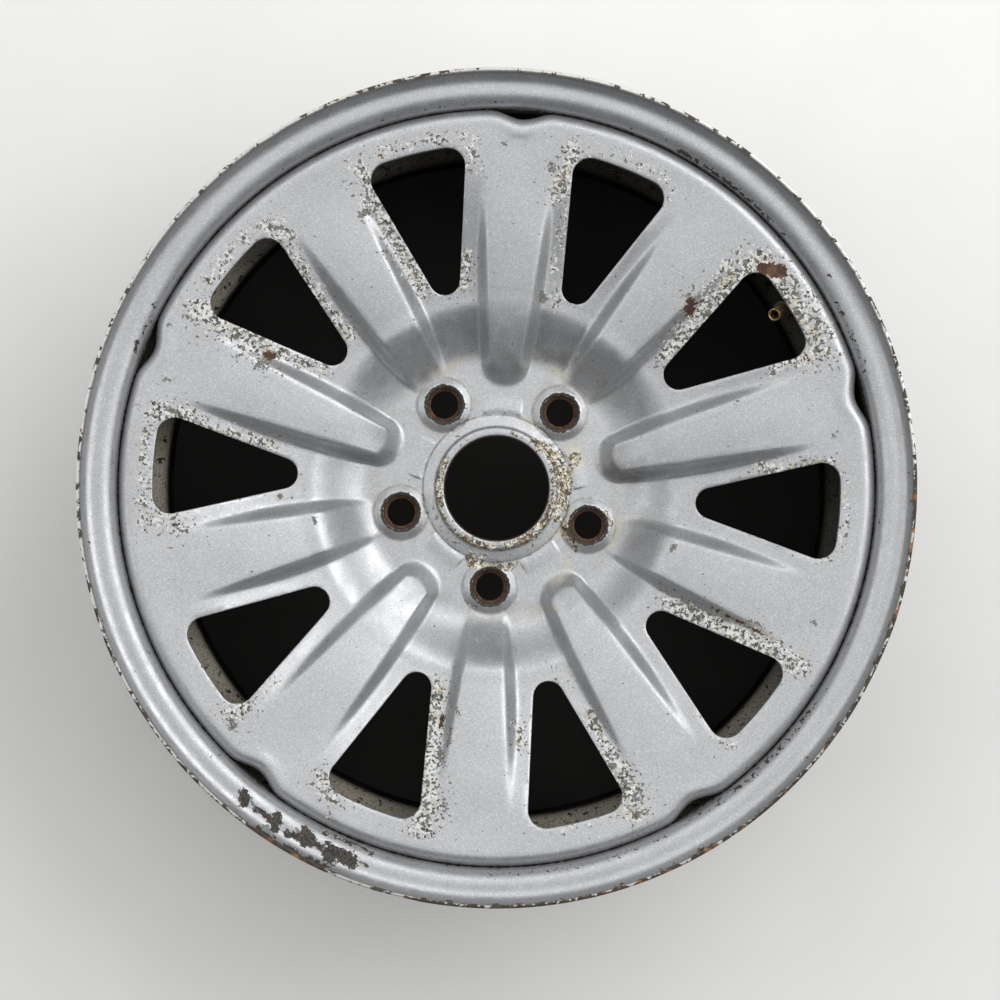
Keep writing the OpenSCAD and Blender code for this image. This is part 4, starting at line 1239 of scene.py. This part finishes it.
def rim_finish():
    """The rim's silver paint under all its wear, with painted shade inside it, in the gap beside the disc and
    at the lip's inner corner.
    """
    f, rough, fine = silver_finish("worn_silver_rim")

    # tyre side: duller paint, rubber rubbed off on the bead seats, some rust
    f.cover(f.both(f.mask("tyre_side"), f.spots(30, 1, 0.3, 0.7, 0.15, 0.45)), TYRE_SIDE_GREY)
    streak = f.spots(14, 2, 0.42, 0.64, roughness=0.6, stretch=(1, 1, 6))
    f.cover(f.both(f.mask("seat"), streak), RUBBER_STREAK, 0.8)
    seat_rust = f.both(f.mask("seat"), f.spots(9, 3, 0.6, 0.66, roughness=0.6))
    f.cover(seat_rust, RUST_BROWN)

    # flaked paint on the flange, down to primer and to dark steel
    grey = f.patch("flake_grey", 2.6, 0.9, 0.42, 0.47)
    f.cover(grey, f.mix(f.step(fine, 0.3, 0.7), PRIMER_PALE, PRIMER_DEEP))
    flake = f.patch("flake", 2.2, 1.5, 0.46, 0.51)
    steel = f.mix(f.step(fine, 0.38, 0.62), STEEL_BLACK, STEEL_OLIVE)
    f.cover(flake, f.mix(f.spots(4, 2, 0.60, 0.66), steel, STEEL_RED))

    # cut edge of the lip: pale, with dark chips and rust, and a painted shade line along its inner corner
    cut = f.mask("cut")
    f.cover(f.both(cut, f.spots(2.6, 1, 0.3, 0.5)), EDGE_PALE)
    lip = f.patch("lip_rust", 5.5, 2.4, 0.52, 0.62)
    lip_colour = f.mix(f.step(fine, 0.42, 0.6), DIRT, RUST_BROWN)
    f.cover(lip, f.mix(f.spots(9, 2, 0.55, 0.65), lip_colour, RUST_ORANGE))
    edge_chips_and_shade = f.both(f.spots(6.5, 3, 0.55, 0.575, roughness=0.68), cut)
    edge_chips_and_shade = f.largest(edge_chips_and_shade, f.both(f.mask("lip_corner"), 0.85))
    f.cover(edge_chips_and_shade, EDGE_CHIP_AND_SHADE)
    specks = f.spots(2.2, 3, 0.75, 0.765, roughness=0.7)
    f.cover(specks, CHIP_OLIVE)

    # dirt and painted shade in the gap beside the disc
    crevice = f.patch("crevice", 3.0, 2.2, 0.5, 0.62)
    f.cover(crevice, DIRT)

    # inside: beige dust on the upper slope, going black deeper in and towards SHADE_ANGLE, which is brake
    # dust with painted shade
    spotted = f.mix(f.step(fine, 0.52, 0.62), DUST_BEIGE, DUST_SPOT)
    spotted = f.mix(f.spots(4, 2, 0.60, 0.66, roughness=0.6), spotted, DIRT)
    black = f.mix(f.spots(22, 1, 0.5, 0.75), DUST_AND_SHADE_BLACK, SOOT_AND_SHADE)
    barrel_dust_and_shade = f.patch("dust", 14, 0.8, 0.1, 0.5)
    f.cover(barrel_dust_and_shade, f.mix(f.mask("depth"), spotted, black))

    coarse = f.largest(flake, grey, lip, edge_chips_and_shade, crevice, barrel_dust_and_shade, seat_rust, specks)
    f.bump(f.without(f.largest(flake, grey)), 0.25)
    f.bump(f.both(lip, fine), 0.3)
    f.bump(f.without(f.largest(edge_chips_and_shade, specks)), 0.2)
    f.link(f.blend(barrel_dust_and_shade, 0.5, 0.02), f.shader.inputs["Specular IOR Level"])
    return f.done(f.blend(barrel_dust_and_shade, f.blend(coarse, rough, 0.8), 0.97), f.blend(coarse, 0.72, 0.0))


def weld_finish():
    """Thin paint over a rusting weld bead."""
    f = Finish("painted_weld")
    f.colour = f.mix(f.spots(3, 4, 0.3, 0.7), (0.26, 0.26, 0.265), (0.12, 0.112, 0.10))
    rust = f.spots(4, 5, 0.56, 0.64, roughness=0.6)
    f.cover(rust, RUST_BROWN)
    f.bump(f.noise(0.9, 3), 0.15)
    return f.done(f.blend(rust, 0.5, 0.85), f.blend(rust, 0.5, 0.0))


def rubber_finish():
    """Black rubber with dust on it."""
    f = Finish("valve_rubber")
    dust = f.spots(3, 4, 0.4, 0.7, 0, 0.5)
    f.colour = f.mix(dust, (0.022, 0.022, 0.023), (0.075, 0.068, 0.06))
    f.bump(f.noise(0.6, 3), 0.05)
    return f.done(f.step(dust, 0, 0.5, 0.55, 0.8), 0.0)


def brass_finish():
    """Brass gone dull, with dark specks."""
    f = Finish("dull_brass")
    dull = f.spots(2, 4, 0.35, 0.65)
    f.colour = f.mix(dull, (0.44, 0.29, 0.15), (0.19, 0.12, 0.07))
    f.cover(f.spots(1.1, 3, 0.6, 0.7), (0.07, 0.055, 0.04))
    f.bump(f.noise(0.5, 3), 0.03)
    return f.done(f.step(dull, 0, 1, 0.35, 0.55), 0.85)


def floor_finish():
    """Pale floor, with a dark disc of painted shade under the wheel, where the wheel shuts out the room."""
    f = Finish("pale_floor")
    split = f.tree.nodes.new("ShaderNodeSeparateXYZ")
    f.link(f.coords, split.inputs[0])
    away = f.calc("SQRT", f.calc("ADD", *[f.calc("POWER", axis, 2.0) for axis in split.outputs[:2]]))
    dark_r, pale_r = 0.222, 0.230
    # Painted shade: a near-black disc under the wheel, seen only through its windows and holes.
    inside = f.step(away, dark_r, pale_r, 1.0, 0.0)
    pale = f.mix(f.noise(60, 3), (0.70, 0.695, 0.68), (0.74, 0.735, 0.72))
    f.colour = f.mix(inside, pale, (0.02, 0.018, 0.016))
    return f.done(0.85, 0.0)


# ---------------------------------------------------------------- studio

# Each lamp's azimuth and elevation in degrees, distance and size in metres, and power in watts.
LAMPS = {
    "key": (45, 44, 2.2, 1.6, 27),
    "north": (118, 40, 2.2, 1.6, 12),
    "west": (180, 40, 2.2, 1.6, 14),
    "east": (2, 40, 2.2, 1.6, 17),
    "overhead": (80, 82, 2.2, 2.4, 22),
}
ROOM_LIGHT = (0.97, 0.985, 1.0, 1)
ROOM_LEVEL = 0.11
FLOOR_HALF = 3.0
CAMERA_AT = (0.00241, -0.00659, 1.610)
CAMERA_TURN = 4
CAMERA_LENS = 99.73
CAMERA_SENSOR = 36


def add_floor():
    """A pale floor under the lower lip, with painted shade under the wheel, which belongs to the stage."""
    half, z = FLOOR_HALF, LIP_IN_Z * MM
    mesh = bpy.data.meshes.new("floor")
    mesh.from_pydata([(-half, -half, z), (half, -half, z), (half, half, z), (-half, half, z)], [],
                     [(0, 1, 2, 3)])
    mesh.materials.append(floor_finish())
    floor = bpy.data.objects.new("floor", mesh)
    bpy.context.scene.collection.objects.link(floor)


def add_lamp(name, azimuth, elevation, distance, size, power):
    """A soft square lamp aimed at the wheel. Azimuth is measured round +Z from +X."""
    lamp = bpy.data.lights.new(name, "AREA")
    lamp.shape, lamp.size, lamp.energy = "SQUARE", size, power
    holder = bpy.data.objects.new(name, lamp)
    a, e = math.radians(azimuth), math.radians(elevation)
    away = Vector((math.cos(a) * math.cos(e), math.sin(a) * math.cos(e), math.sin(e)))
    holder.location = away * distance
    holder.rotation_mode = "QUATERNION"
    holder.rotation_quaternion = away.to_track_quat("Z", "Y")
    bpy.context.scene.collection.objects.link(holder)


def add_studio():
    """The room's light, the lamps and the camera straight above the wheel."""
    world = bpy.data.worlds.new("studio")
    world.use_nodes = True
    background = world.node_tree.nodes["Background"]
    background.inputs["Color"].default_value = ROOM_LIGHT
    background.inputs["Strength"].default_value = ROOM_LEVEL
    scene = bpy.context.scene
    scene.world = world
    for name, placed in LAMPS.items():
        add_lamp(name, *placed)
    camera = bpy.data.cameras.new("camera")
    camera.lens, camera.sensor_width = CAMERA_LENS, CAMERA_SENSOR
    camera.clip_start, camera.clip_end = 0.05, 50
    holder = bpy.data.objects.new("camera", camera)
    holder.location = CAMERA_AT
    holder.rotation_euler = (0, 0, math.radians(CAMERA_TURN))
    scene.collection.objects.link(holder)
    scene.camera = holder
    scene.view_settings.view_transform = "Standard"


def main():
    """Builds the wheel's five pieces, the floor and the studio."""
    disc = shown_piece("wheel_disc", *disc_mesh(), disc_finish(), "disc_paint", "disc")
    wear_disc(disc)
    rim = shown_piece("wheel_rim", *rim_mesh(), rim_finish(), "rim_paint", "rim")
    wear_rim(rim)
    shown_piece("rim_welds", *weld_mesh(), weld_finish(), "weld_steel", "weld_beads")
    shown_piece("valve_rubber_body", *body_mesh(), rubber_finish(), "valve_rubber", "valve_body")
    shown_piece("valve_brass_stem", *stem_mesh(), brass_finish(), "valve_brass", "valve_stem", sharp=60)
    add_floor()
    add_studio()


main()
